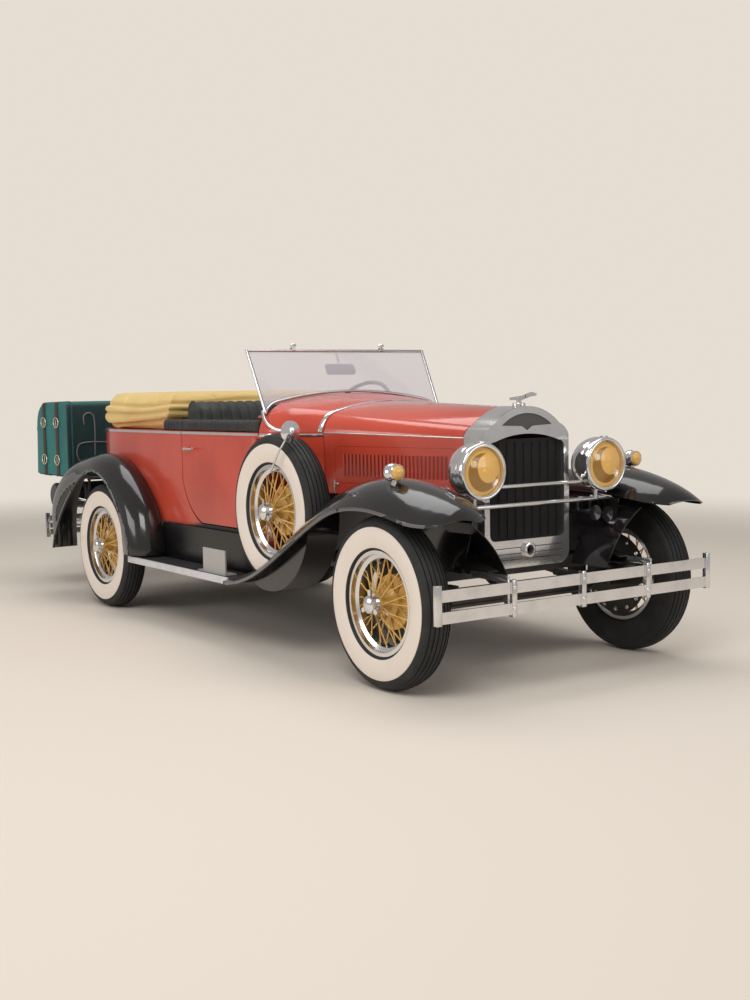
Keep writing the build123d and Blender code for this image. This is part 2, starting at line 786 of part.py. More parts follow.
with BuildPart() as hood_top:
    for row in hood_rows:
        with BuildSketch(Plane.XZ.offset(-at_y(row[0]))):
            with BuildLine():
                half_arch(row, 0, hinge_rod_radius + hinge_gap)
                outer_belt = arch_points(row, 0)[4]
                inner_belt = arch_points(row, hood_skin)[4]
                Line(outer_belt, inner_belt)
                half_arch(row, hood_skin, hinge_rod_radius + hinge_gap)
                Line(
                    (hinge_rod_radius + hinge_gap, row[1]),
                    (hinge_rod_radius + hinge_gap, row[1] - hood_skin),
                )
            make_face()
    loft(ruled=True)

save(hood_top.part, "hood_top_left")
save(mirror(hood_top.part, about=Plane.YZ), "hood_top_right")

with BuildPart() as hood_side:
    pivots = []
    for row in hood_rows:
        pivots.append((row[4] - hood_skin / 2, at_y(row[0]), row[5] - belt_bead - fit))
        with BuildSketch(Plane.XZ.offset(-at_y(row[0]))):
            with BuildLine():
                half = hood_skin / 2
                pivot_x, _, pivot_z = pivots[-1]
                Polyline(
                    (pivot_x - half, pivot_z),
                    (pivot_x + half, pivot_z),
                    (row[6], hood_bottom),
                    (row[6] - hood_skin, hood_bottom),
                    close=True,
                )
            make_face()
    loft(ruled=True)
    # hinge roll along the belt line
    bar(*pivots, belt_bead)
    # louvres: raised hoods over slots, in a row that follows the slope of the side
    for i in range(louvre_count):
        y = louvre_front + (louvre_rear - louvre_front) * i / (louvre_count - 1)
        share = (y - hood_front) / (hood_rear - hood_front)
        skin_x = 255 + share * (430 - 255) - 2
        with BuildSketch(Plane.XY.offset(louvre_low)):
            with BuildLine():
                Polyline(
                    (skin_x - 6, at_y(y) - 9),
                    (skin_x + 8, at_y(y) + 3),
                    (skin_x + 8, at_y(y) + 6),
                    (skin_x - 6, at_y(y) - 4),
                    close=True,
                )
            make_face()
        extrude(amount=louvre_high - louvre_low)

save(hood_side.part, "hood_side_left")
save(mirror(hood_side.part, about=Plane.YZ), "hood_side_right")

# Cowl: domed shell with its firewall and instrument panel, and the rod that the hood hinges on
column_radius = 20
wheel_centre = (330, at_y(1739), 1209)
column_foot = (330, at_y(900), 622)
firewall = 12
panel_z = 1030

with BuildPart() as cowl:
    cowl_solid(0, cowl_front, sill_height)
    with BuildPart(mode=Mode.PRIVATE) as cowl_inside:
        cowl_solid(cowl_skin, cowl_front + firewall, sill_height - 1)
    add(cowl_inside.part, mode=Mode.SUBTRACT)
    with BuildPart(mode=Mode.PRIVATE) as rear_cut:
        block((-700, at_y(cowl_rear), 0), (700, at_y(scuttle_rear) + 1, scuttle_low))
    add(rear_cut.part, mode=Mode.SUBTRACT)
    with BuildPart(mode=Mode.PRIVATE) as instrument_panel:
        cowl_solid(cowl_skin - 2, cowl_front, sill_height)
        block((-700, at_y(0), 0), (700, at_y(cowl_rear) - 18, 1400), Mode.SUBTRACT)
        block((-700, at_y(cowl_rear) - 6, 0), (700, at_y(scuttle_rear) + 1, 1400), Mode.SUBTRACT)
        block((-700, at_y(0), 0), (700, at_y(scuttle_rear) + 1, panel_z), Mode.SUBTRACT)
    add(instrument_panel.part)
    bar((0, at_y(radiator_back) + 2 * fit, ridge_front - 2), (0, at_y(cowl_front) + 2, ridge_rear - 2), hinge_rod_radius)
    bar(column_foot, wheel_centre, column_radius + fit, Mode.SUBTRACT)

# Radiator: chromed shell with a rounded opening, a peaked panel over it and the core inside
shell_top = ridge_front + 3
shell_bottom = 487
grille_half = 226
grille_low, grille_high = 615, 1066
core_front, core_rear = -62, 40


def shell_outline(inset, bottom):
    """Outline of the radiator shell from the front: arched top, upright sides, rounded foot."""
    half = shell_half - inset
    top = shell_top - inset
    bulge_x, bulge_z = 200 - 0.6 * inset, 1143 - 0.8 * inset
    corner_x, corner_z = 238 - 0.8 * inset, 1118 - 0.6 * inset
    with BuildLine() as outline:
        ThreePointArc((-bulge_x, bulge_z), (0, top), (bulge_x, bulge_z))
        ThreePointArc((bulge_x, bulge_z), (corner_x, corner_z), (half, 1088))
        Line((half, 1088), (half, bottom + 60))
        ThreePointArc((half, bottom + 60), (half - 18, bottom + 18), (half - 60, bottom))
        Line((half - 60, bottom), (60 - half, bottom))
        ThreePointArc((60 - half, bottom), (18 - half, bottom + 18), (-half, bottom + 60))
        Line((-half, bottom + 60), (-half, 1088))
        ThreePointArc((-half, 1088), (-corner_x, corner_z), (-bulge_x, bulge_z))
    make_face(outline.line)


with BuildPart() as radiator_shell:
    with BuildSketch(Plane.XZ.offset(-at_y(radiator_front))) as shell_face:
        shell_outline(0, shell_bottom)
    extrude(amount=radiator_front - radiator_back)
    with BuildSketch(Plane.XZ.offset(-at_y(core_front))):
        shell_outline(16, 545)
    extrude(amount=core_front - radiator_back, mode=Mode.SUBTRACT)
    with BuildSketch(Plane.XZ.offset(-at_y(radiator_front))):
        with Locations((0, (grille_low + grille_high) / 2)):
            RectangleRounded(2 * grille_half, grille_high - grille_low, 30)
        with BuildLine():
            grille_arch = ThreePointArc((-grille_half + 30, grille_high - 1), (0, 1099), (grille_half - 30, grille_high - 1))
            Line(grille_arch @ 0, grille_arch @ 1)
        make_face()
    extrude(amount=radiator_front - radiator_back, mode=Mode.SUBTRACT)
    # recessed panel with a peaked lower edge, above the opening
    with BuildSketch(Plane.XZ.offset(-at_y(radiator_front))):
        with BuildLine():
            Polyline((-150, 1139), (-32, 1134), (0, 1114), (32, 1134), (150, 1139))
            ThreePointArc((150, 1139), (0, 1193), (-150, 1139))
        make_face()
    extrude(amount=-5, mode=Mode.SUBTRACT)
    # crank hole and the three grooves of the apron
    with Locations(Location((0, at_y(radiator_front), 566), (90, 0, 0))):
        Cylinder(34, 24)
    with Locations(Location((0, at_y(radiator_front), 566), (90, 0, 0))):
        Cylinder(20, 80, mode=Mode.SUBTRACT)
    for z in (525, 552, 579):
        for side in (-1, 1):
            low, high = sorted((side * 40, side * 215))
            block((low, at_y(radiator_front) - 1, z - 2), (high, at_y(radiator_front) + 3, z + 2), Mode.SUBTRACT)
    # filler cap and a plain winged ornament
    with Locations((0, at_y(-34), shell_top + 6)):
        Cylinder(28, 14)
    with Locations((0, at_y(-34), shell_top + 20)):
        Cylinder(12, 40)
    with BuildSketch(Plane.YZ.offset(-5)):
        with BuildLine():
            Polyline(
                (at_y(26), 1252),
                (at_y(26), 1264),
                (at_y(-60), 1272),
                (at_y(-120), 1288),
                (at_y(-153), 1283),
                (at_y(-150), 1270),
                (at_y(-110), 1268),
                (at_y(-50), 1252),
                close=True,
            )
        make_face()
    extrude(amount=10)

save(radiator_shell.part, "radiator_shell")

with BuildPart() as radiator_core:
    block((-grille_half - 8, at_y(core_front) + fit, 606), (grille_half + 8, at_y(core_rear), 1075))
    for i in range(9):
        x = -200 + 50 * i
        block((x - 1.5, at_y(core_front) - 6, 622), (x + 1.5, at_y(core_front) + 1, 1060))

save(radiator_core.part, "radiator_core")

# Body: plan outlines at three heights, lofted and hollowed
body_skin = 20
door_thick = 38
deck_thick = 16
body_waist = 820
cabin_rear = 2480
tail_corner = 3050
sill_step = 25
rear_floor_z = 630
tail_cut = 3350

# height, half width at the cowl, half width behind the doors
body_levels = ((sill_height, 606, 612), (body_waist, 606, 630), (belt_height, 600, 630))


def body_outline(level, inset):
    """Plan of the body at one height: a straight front, long sides and a rounded tail."""
    front, rear = level[1] - inset, level[2] - inset
    corner = (rear - 175, at_y(tail_end - 70) - inset)
    with BuildLine() as outline:
        Polyline((-front, at_y(cowl_rear)), (front, at_y(cowl_rear)), (rear, at_y(door_rear)), (rear, at_y(tail_corner)))
        TangentArc((rear, at_y(tail_corner)), corner, tangent=(0, 1))
        ThreePointArc(corner, (0, at_y(tail_end) - inset), (-corner[0], corner[1]))
        TangentArc((-rear, at_y(tail_corner)), (-corner[0], corner[1]), tangent=(0, 1))
        Polyline((-rear, at_y(tail_corner)), (-rear, at_y(door_rear)), (-front, at_y(cowl_rear)))
    make_face(outline.line)


def body_loft(inset, mode=Mode.ADD):
    """Adds the solid inside the body's outer surface, drawn in by the inset."""
    sections = []
    for level in body_levels:
        with BuildSketch(Plane.XY.offset(level[0])) as outline:
            body_outline(level, inset)
        sections.append(outline.sketch)
    loft(sections, ruled=True, mode=mode)


def door_outline(grow):
    """Side view of the door: square at the front, its rear edge swept in above the fender."""
    front, rear = at_y(cowl_rear) + panel_gap - grow, at_y(door_rear) + grow
    foot = sill_height + sill_step - grow
    with BuildSketch(Plane.YZ) as outline:
        with BuildLine():
            Polyline((front, belt_height + 1), (front, foot), (rear - 190, foot))
            ThreePointArc((rear - 190, foot), (rear - 65, foot + 90), (rear, foot + 300))
            Polyline((rear, foot + 300), (rear, belt_height + 1), (front, belt_height + 1))
        make_face()
    return outline.sketch


with BuildPart() as body_shell:
    body_loft(0)
    body_loft(body_skin, Mode.SUBTRACT)
    block((-575, at_y(cowl_rear) - 1, sill_height - 1), (575, at_y(cowl_rear) + body_skin + 1, belt_height + 1), Mode.SUBTRACT)
    with BuildPart(mode=Mode.PRIVATE) as deck:
        body_loft(body_skin / 2)
        block((-700, at_y(cowl_rear) - 1, 0), (700, at_y(tail_end) + 1, belt_height - deck_thick), Mode.SUBTRACT)
        block((-700, at_y(0), 0), (700, at_y(cabin_rear), belt_height + 1), Mode.SUBTRACT)
    add(deck.part)
    # hinge posts inside the doors, on a foot that joins them to the sill
    for side in (-1, 1):
        inner, outer = sorted((side * 520, side * 555))
        block((inner, at_y(cowl_rear), sill_height), (outer, at_y(cowl_rear) + body_skin, belt_height))
        inner, outer = sorted((side * 520, side * 590))
        block((inner, at_y(cowl_rear), sill_height), (outer, at_y(cowl_rear) + body_skin, sill_height + 15))
    extrude(door_outline(panel_gap), amount=800, both=True, mode=Mode.SUBTRACT)
    for side in (-1, 1):
        inner, outer = sorted((side * 520, side * 555))
        block((inner, at_y(cowl_rear), sill_height), (outer, at_y(cowl_rear) + body_skin, belt_height))

    block((-700, at_y(tail_cut), 0), (700, at_y(tail_end) + 1, rear_floor_z), Mode.SUBTRACT)

save(body_shell.part, "body_shell")

# Doors: thick panels cut from the body's own shape, hung on outside hinges at the front edge
hinge_x = 616
hinge_y = cowl_rear + panel_gap / 2
hinge_pin = 5
hinge_barrel = 9
hinge_heights = (655, 860, 1050)
barrel_height = 40
handle_z = 1000

with BuildPart() as door:
    body_loft(0)
    body_loft(door_thick, Mode.SUBTRACT)
    extrude(door_outline(0), amount=800, mode=Mode.INTERSECT)
    for z in hinge_heights:
        with BuildSketch(Plane.XY.offset(z - barrel_height / 2)):
            with Locations((hinge_x, at_y(hinge_y))):
                Circle(hinge_barrel)
            with BuildLine():
                Polyline(
                    (hinge_x, at_y(hinge_y)),
                    (hinge_x, at_y(hinge_y) + hinge_barrel),
                    (605, at_y(hinge_y) + 70),
                    (596, at_y(hinge_y) + 70),
                    (596, at_y(hinge_y) + 12),
                    close=True,
                )
            make_face()
        extrude(amount=barrel_height)
        with Locations((hinge_x, at_y(hinge_y), z)):
            Cylinder(hinge_pin + fit, barrel_height + 2, mode=Mode.SUBTRACT)
    # outside handle on its boss
    bar((622, at_y(2090), handle_z), (662, at_y(2090), handle_z), 9)
    bar((656, at_y(2100), handle_z), (656, at_y(1995), handle_z), 7)

save(door.part, "door_left")
save(mirror(door.part, about=Plane.YZ), "door_right")

with BuildPart() as door_hinges:
    for z in hinge_heights:
        for low, high in ((-barrel_height / 2 - 16, -barrel_height / 2 - 0.5), (barrel_height / 2 + 0.5, barrel_height / 2 + 16)):
            with BuildSketch(Plane.XY.offset(z + low)):
                with Locations((hinge_x, at_y(hinge_y))):
                    Circle(hinge_barrel)
                with BuildLine():
                    Polyline(
                        (hinge_x, at_y(hinge_y)),
                        (hinge_x, at_y(hinge_y) - hinge_barrel),
                        (597, at_y(cowl_rear) - 55),
                        (585, at_y(cowl_rear) - 55),
                        (592, at_y(cowl_rear) - 3),
                        close=True,
                    )
                make_face()
            extrude(amount=high - low)
        with Locations((hinge_x, at_y(hinge_y), z)):
            Cylinder(hinge_pin, barrel_height + 24)

with BuildPart() as cowl_assembly:
    add(cowl.part)
    add(door_hinges.part)
    add(mirror(door_hinges.part, about=Plane.YZ, mode=Mode.PRIVATE))

save(cowl_assembly.part, "cowl")

# Padded coaming: a leather roll along the belt, in one piece round the rear and one piece on each door
coaming_low = belt_height + fit
coaming_high = 1168


def coaming_section(x):
    """Cross-section of the roll: flat below, round above."""
    with BuildLine() as outline:
        Polyline((x + 20, coaming_high - 30), (x + 20, coaming_low), (x - 34, coaming_low), (x - 34, coaming_high - 30))
        ThreePointArc((x - 34, coaming_high - 30), (x - 7, coaming_high), (x + 20, coaming_high - 30))
    make_face(outline.line)


with BuildPart() as door_coaming:
    for y, x in ((cowl_rear + panel_gap + 1, 579), (door_rear - 1, 608)):
        with BuildSketch(Plane.XZ.offset(-at_y(y))):
            coaming_section(x)
    loft(ruled=True)

save(door_coaming.part, "door_coaming_left")
save(mirror(door_coaming.part, about=Plane.YZ), "door_coaming_right")

with BuildPart() as body_coaming:
    with BuildSketch(Plane.XZ.offset(-at_y(door_rear + panel_gap + 1))):
        coaming_section(608)
    extrude(amount=-(cabin_rear - 70 - door_rear))

save(both_sides(body_coaming.part), "body_coaming")

# Floor: flat between the sills, stepped up over the rear axle
floor_top = sill_height + 15
floor_step = 2348

with BuildPart() as floor_pan:
    with BuildSketch(Plane.XY.offset(sill_height)):
        with BuildLine():
            Polyline(
                (-400, at_y(cowl_front) + firewall + fit),
                (400, at_y(cowl_front) + firewall + fit),
                (525, at_y(1150)),
                (518, at_y(cowl_rear)),
                (518, at_y(cowl_rear) + 30),
                (580, at_y(cowl_rear) + 30),
                (589, at_y(door_rear)),
                (591, at_y(floor_step)),
                (-591, at_y(floor_step)),
                (-589, at_y(door_rear)),
                (-580, at_y(cowl_rear) + 30),
                (-518, at_y(cowl_rear) + 30),
                (-518, at_y(cowl_rear)),
                (-525, at_y(1150)),
                close=True,
            )
        make_face()
    extrude(amount=floor_top - sill_height)
    block((-591, at_y(floor_step) - 10, sill_height), (591, at_y(floor_step), rear_floor_z + 10))
    block((-591, at_y(floor_step) - 10, rear_floor_z), (591, at_y(tail_corner - 10), rear_floor_z + 10))
    block((-440, at_y(tail_corner - 10), rear_floor_z), (440, at_y(3540), rear_floor_z + 10))
    bar(column_foot, wheel_centre, column_radius + fit, Mode.SUBTRACT)

save(floor_pan.part, "floor_pan")

# Seat: one bench cushion and a leaning backrest
with BuildPart() as seat_cushion:
    block((-500, at_y(1650), floor_top + fit), (500, at_y(2130), 765))
    fillet(edges().filter_by(Axis.X).group_by(Axis.Z)[-1], 45)

save(seat_cushion.part, "seat_cushion")

with BuildPart() as seat_back:
    with BuildSketch(Plane.YZ.offset(-545)):
        with BuildLine():
            Polyline(
                (at_y(2070), 766),
                (at_y(2160), 1240),
            )
            ThreePointArc((at_y(2160), 1240), (at_y(2225), 1285), (at_y(2290), 1235))
            Polyline(
                (at_y(2290), 1235),
                (at_y(2325), 1110),
                (at_y(2335), floor_top + fit),
                (at_y(2160), floor_top + fit),
                (at_y(2135), 766),
                (at_y(2070), 766),
            )
        make_face()
    extrude(amount=1090)

save(seat_back.part, "seat_back")

# Folded top: the stacked fabric over the rear deck, as a closed solid
top_levels = ((belt_height + fit, 2520, 560, 3590), (1215, 2395, 615, 3690), (1318, 2440, 560, 3600))

with BuildPart() as folded_top:
    for z, front, half, rear in top_levels:
        with BuildSketch(Plane.XY.offset(z)):
            with BuildLine():
                Polyline((-half, at_y(3150)), (-half, at_y(front)), (half, at_y(front)), (half, at_y(3150)))
                ThreePointArc((half, at_y(3150)), (half - 90, at_y(rear - 160)), (half - 260, at_y(rear - 25)))
                ThreePointArc((half - 260, at_y(rear - 25)), (0, at_y(rear)), (260 - half, at_y(rear - 25)))
                ThreePointArc((260 - half, at_y(rear - 25)), (90 - half, at_y(rear - 160)), (-half, at_y(3150)))
            make_face()
    loft()

save(folded_top.part, "folded_top")
# Windscreen: a raked frame whose lower rail follows the cowl, with stanchion arms and a mirror
rake = 27
screen_foot_y = 1312
screen_foot_z = 1200
screen_top_z = 1532
screen_half_low, screen_half_high = 556, 576
screen_tube = 8.5
rail_tube = 7.5
screen_joint = screen_tube + 1
glass_thick = 6


def on_screen(x, z, ahead=0.0):
    """Point on the raked plane of the windscreen at a given height."""
    return (x, at_y(screen_foot_y) + (z - screen_foot_z) * tan(radians(rake)) - ahead, z)


def screen_arch(clearance):
    """Points of the cowl's top edge on the raked plane, lifted off the cowl by a clearance."""
    ridge, crown, shoulder, bulge, belt = arch_points(cowl_rows[-1], -clearance)
    return ridge, shoulder, bulge


mirror_offset = 25
screen_plane = Plane(
    origin=on_screen(0, screen_foot_z), x_dir=(1, 0, 0), z_dir=(0, -cos(radians(rake)), sin(radians(rake)))
)

with BuildPart() as windscreen_frame:
    ridge, shoulder, bulge = screen_arch(screen_joint + fit)
    with BuildLine() as lower_rail:
        crown_arc = ThreePointArc(on_screen(-shoulder[0], shoulder[1]), on_screen(*ridge), on_screen(*shoulder))
        TangentArc(crown_arc @ 1, on_screen(*bulge), tangent=crown_arc % 1)
        TangentArc(crown_arc @ 0, on_screen(-bulge[0], bulge[1]), tangent=-(crown_arc % 0))
    rail_path = lower_rail.wires()[0]
    with BuildSketch(Plane(origin=rail_path @ 0, z_dir=rail_path % 0)) as rail_end:
        Circle(rail_tube)
    sweep(rail_end.sketch, path=rail_path)
    for side in (-1, 1):
        foot = on_screen(side * bulge[0], bulge[1])
        corner = on_screen(side * screen_half_high, screen_top_z)
        bar(foot, corner, screen_tube)
        with Locations(foot, corner):
            Sphere(screen_joint)
    bar(on_screen(-screen_half_high, screen_top_z), on_screen(screen_half_high, screen_top_z), screen_tube)
    # collars of the two catches that hold the top's front bow
    for x in (-290, 290):
        bar(on_screen(x - 12, screen_top_z + 5), on_screen(x + 12, screen_top_z + 5), 13)
    # inside mirror on a cranked arm
    arm_corner = on_screen(0, screen_top_z, -mirror_offset - 4)
    bar(on_screen(0, screen_top_z), arm_corner, 5)
    bar(arm_corner, on_screen(0, 1450, -mirror_offset - 4), 5)
    with Locations(arm_corner):
        Sphere(7)
    with BuildSketch(screen_plane.offset(-mirror_offset - 6)):
        with Locations((0, (1443 - screen_foot_z) / cos(radians(rake)))):
            RectangleRounded(190, 62, 16)
    extrude(amount=8)

save(windscreen_frame.part, "windscreen_frame")

with BuildPart() as windscreen_glass:
    rise = 1 / cos(radians(rake))
    with BuildSketch(screen_plane.offset(-glass_thick / 2)):
        edge_gap = screen_tube + fit
        top = (screen_top_z - screen_foot_z) * rise - edge_gap
        with BuildLine():
            Polyline(
                (bulge[0] - edge_gap, 0),
                (screen_half_high - edge_gap, top),
                (edge_gap - screen_half_high, top),
                (edge_gap - bulge[0], 0),
                close=True,
            )
        make_face()
        ridge, shoulder, bulge = screen_arch(screen_joint + fit + rail_tube + 1)
        with BuildLine():
            flat = [(x, (z - screen_foot_z) * rise) for x, z in (ridge, shoulder, bulge)]
            lower = ThreePointArc((-flat[1][0], flat[1][1]), flat[0], flat[1])
            TangentArc(flat[1], flat[2], tangent=lower % 1)
            Polyline(flat[2], (flat[2][0], -40), (-flat[2][0], -40), (-flat[2][0], flat[2][1]))
            TangentArc(lower @ 0, (-flat[2][0], flat[2][1]), tangent=-(lower % 0))
        make_face(mode=Mode.SUBTRACT)
    extrude(amount=glass_thick)

save(windscreen_glass.part, "windscreen_glass")

# Steering: a raked column and a wheel on a short shaft
wheel_ring = 182
shaft_radius = 9
column_run = Vector(*wheel_centre) - Vector(*column_foot)
column_axis = column_run.normalized()
column_top = Vector(*wheel_centre) - column_axis * 40
wheel_plane = Plane(origin=wheel_centre, x_dir=(1, 0, 0), z_dir=column_axis)

with BuildPart() as steering_column:
    bar(column_foot, tuple(column_top), column_radius)
    bar(tuple(column_top - column_axis * 90), tuple(column_top), shaft_radius + fit, Mode.SUBTRACT)
    block((column_foot[0] - 45, column_foot[1] - 60, 560 + fit), (column_foot[0] + 45, column_foot[1] + 60, 650))

save(steering_column.part, "steering_column")

with BuildPart() as steering_wheel:
    with BuildSketch(Plane(origin=wheel_plane.from_local_coords((wheel_ring, 0, 0)), x_dir=(1, 0, 0), z_dir=wheel_plane.y_dir)):
        Circle(11)
    revolve(axis=Axis(wheel_centre, tuple(column_axis)))
    bar(tuple(column_top + column_axis * 5), tuple(column_top + column_axis * 55), 28)
    bar(tuple(column_top - column_axis * 80), tuple(column_top + column_axis * 10), shaft_radius)
    for turn in (90, 210, 330):
        tip = wheel_plane.from_local_coords(Vector(wheel_ring, 0, 0).rotate(Axis.Z, turn))
        bar(wheel_centre, tuple(tip), 6)

save(steering_wheel.part, "steering_wheel")

# Headlamps on their tie bars, fender lamps, and the horns below
lamp_x, lamp_z = 368, 947
lamp_y = -203
lamp_rim = 125
lamp_lens = 106
fender_lamp = (fender_crown + 20, -67, 953)

bowl_depth = 144

with BuildPart() as headlamps:
    for side in (-1, 1):
        x0, y0 = side * lamp_x, at_y(lamp_y)
        dome_r, dome_drop = dome_middle(lamp_rim, bowl_depth)
        with BuildSketch(Plane.XY.offset(lamp_z)):
            with BuildLine():
                Polyline(
                    (x0, y0 + 14),
                    (x0 + lamp_lens + 1, y0 + 14),
                    (x0 + lamp_lens + 1, y0 - 12),
                    (x0 + lamp_rim, y0 - 8),
                    (x0 + lamp_rim, y0 + 16),
                )
                peak = y0 + 16 + bowl_depth
                ThreePointArc((x0 + lamp_rim, y0 + 16), (x0 + dome_r, peak - dome_drop), (x0, peak))
                Line((x0, peak), (x0, y0 + 14))
            make_face()
        revolve(axis=Axis((x0, y0, lamp_z), (0, 1, 0)))
        bar((x0, at_y(-150), 850), (x0, at_y(-150), 783), 14)
        bar((side * 424, at_y(-150), 783), (side * 424, at_y(baffle_y) - 2 - fit, 783), 9)
    bar((-lamp_x + 60, at_y(-150), 868), (lamp_x - 60, at_y(-150), 868), 9)
    tie_end = skirt_x - ledge_plate - fit
    bar((-tie_end, at_y(-150), 783), (tie_end, at_y(-150), 783), 10)
    # pair of curved horns hung from the lower bar on the left
    for x, z in ((316, 722), (395, 712)):
        bent_bar(((x, at_y(-150), 783), (x, at_y(-85), 783), (x, at_y(-85), z), (x, at_y(-120), z)), 18, 9)
        with BuildSketch(Plane.XY.offset(z)):
            with BuildLine():
                Polyline((x, at_y(-110)), (x + 9, at_y(-110)), (x + 14, at_y(-160)))
                ThreePointArc((x + 14, at_y(-160)), (x + 20, at_y(-190)), (x + 36, at_y(-205)))
                Polyline((x + 36, at_y(-205)), (x, at_y(-195)), (x, at_y(-110)))
            make_face()
        revolve(axis=Axis((x, at_y(-110), z), (0, 1, 0)))

save(headlamps.part, "headlamps")

with BuildPart() as lamp_lens_form:
    with BuildSketch(Plane.XY.offset(lamp_z)):
        with BuildLine():
            x0, y0 = lamp_x, at_y(lamp_y)
            dome_r, dome_drop = dome_middle(lamp_lens, 24)
            Polyline((x0, y0 + 13.7), (x0 + lamp_lens, y0 + 13.7), (x0 + lamp_lens, y0 - 6))
            ThreePointArc((x0 + lamp_lens, y0 - 6), (x0 + dome_r, y0 - 30 + dome_drop), (x0, y0 - 30))
            Line((x0, y0 - 30), (x0, y0 + 13.7))
        make_face()
    revolve(axis=Axis((lamp_x, at_y(lamp_y), lamp_z), (0, 1, 0)))

save(both_sides(lamp_lens_form.part), "headlamp_lenses")

with BuildPart() as fender_lamps:
    lamp_at = (fender_lamp[0], at_y(fender_lamp[1]), fender_lamp[2])
    with BuildSketch(Plane.XY.offset(lamp_at[2])):
        with BuildLine():
            x0, y0 = lamp_at[0], lamp_at[1]
            dome_r, dome_drop = dome_middle(36, 60)
            Polyline((x0, y0 - 8), (x0 + 32, y0 - 2), (x0 + 36, y0), (x0 + 36, y0 + 14))
            ThreePointArc((x0 + 36, y0 + 14), (x0 + dome_r, y0 + 74 - dome_drop), (x0, y0 + 74))
            Line((x0, y0 + 74), (x0, y0 - 8))
        make_face()
    revolve(axis=Axis(lamp_at, (0, 1, 0)))
    bar((lamp_at[0], lamp_at[1] + 22, 895), (lamp_at[0], lamp_at[1] + 22, lamp_at[2] - 10), 12)
    add(front_fender.part, mode=Mode.SUBTRACT)

fender_lamp_body = fender_lamps.part.solids().sort_by(Axis.Z)[-1]
save(both_sides(fender_lamp_body), "fender_lamps")

# Front bumper: two bars with end caps and three clamps, on brackets from the frame horns
clamp_proud = 7
bumper_y = clamp_proud - front_overhang
bumper_half = 800
bar_deep = 50
bar_thick = 10

with BuildPart() as front_bumper:
    for z in (378, 468):
        block((-bumper_half, at_y(bumper_y), z - bar_deep / 2), (bumper_half, at_y(bumper_y) + bar_thick, z + bar_deep / 2))
    for x in (-bumper_half, bumper_half):
        block((x - 14, at_y(bumper_y) - 6, 347), (x + 14, at_y(bumper_y) + 16, 515))
    for x in (-400, 0, 400):
        block((x - 13, at_y(bumper_y) - clamp_proud, 343), (x + 13, at_y(bumper_y) + 17, 503))
    for side in (-1, 1):
        inner, outer = sorted((side * (rail_outer + fit), side * (rail_outer + 10)))
        block((inner, at_y(bumper_y) + 2, 400), (outer, at_y(bumper_y) + 30, 505))
        block((inner, at_y(bumper_y) + 2, 490), (outer, at_y(-200), 520))

save(front_bumper.part, "front_bumper")

# Rear bumper: two short bars each side of the tank's filler, with end caps
rear_bumper_y = 4530
with BuildPart() as rear_bumper:
    for z in (330, 380, 430):
        block((-560, at_y(rear_bumper_y), z - 20), (560, at_y(rear_bumper_y) + bar_thick, z + 20))
    for x in (-560, 560):
        block((x - 14, at_y(rear_bumper_y) - 6, 295), (x + 14, at_y(rear_bumper_y) + 16, 470))
    for side in (-1, 1):
        inner, outer = sorted((side * (rail_outer + fit), side * (rail_outer + 10)))
        block((inner, at_y(4110), 400), (outer, at_y(rear_bumper_y) + 1, 440))
        block((inner, at_y(4110), 400), (outer, at_y(4160), rail_bottom(4160) + 45))

save(rear_bumper.part, "rear_bumper")

# Fuel tank: a cylinder across the rear of the frame
tank_y, tank_z, tank_radius, tank_half = 4280, 610, 92, 600
with BuildPart() as fuel_tank:
    with Locations(Location((0, at_y(tank_y), tank_z), (0, 90, 0))):
        Cylinder(tank_radius, 2 * tank_half)
    fillet(edges().filter_by(GeomType.CIRCLE), 20)
    for side in (-1, 1):
        block((side * 392 - 20, at_y(4165) + fit, tank_z - 60), (side * 392 + 20, at_y(tank_y), tank_z - 20))

save(fuel_tank.part, "fuel_tank")

# Luggage rack and the trunk on it
rack_z = 752
trunk_front, trunk_rear = 3935, 4520
trunk_low, trunk_high = 760, 1272
trunk_half = 620
rack_bar = trunk_low - rack_z - fit
rack_rear = wheelbase + rear_overhang - rack_bar

with BuildPart() as luggage_rack:
    for side in (-1, 1):
        x = side * 392
        for y in (3720, 4140):
            bar((x, at_y(y), rail_top(y - 10) + fit), (x, at_y(y), rack_z - 8), 10)
        bar((x, at_y(3690), rack_z - 8), (x, at_y(rack_rear), rack_z - 8), rack_bar)
    for y in (3760, 3900, 4040, 4180, 4320, 4460, rack_rear):
        bar((-560, at_y(y), rack_z), (560, at_y(y), rack_z), rack_bar)

save(luggage_rack.part, "luggage_rack")

with BuildPart() as trunk:
    with BuildSketch(Plane.YZ.offset(-trunk_half)):
        with BuildLine():
            Polyline((at_y(trunk_front), trunk_low), (at_y(trunk_front), trunk_high - 40))
            ThreePointArc((at_y(trunk_front), trunk_high - 40), (at_y(trunk_front) + 12, trunk_high - 12), (at_y(trunk_front) + 40, trunk_high))
            Line((at_y(trunk_front) + 40, trunk_high), (at_y(trunk_rear) - 150, trunk_high - 6))
            ThreePointArc(
                (at_y(trunk_rear) - 150, trunk_high - 6),
                (at_y(trunk_rear) - 40, trunk_high - 60),
                (at_y(trunk_rear), trunk_high - 170),
            )
            Line((at_y(trunk_rear), trunk_high - 170), (at_y(trunk_rear) + 20, trunk_low))
            Line((at_y(trunk_rear) + 20, trunk_low), (at_y(trunk_front), trunk_low))
        make_face()
    extrude(amount=2 * trunk_half)
    fillet(edges().filter_by(Plane.YZ), 12)

save(trunk.part, "trunk")

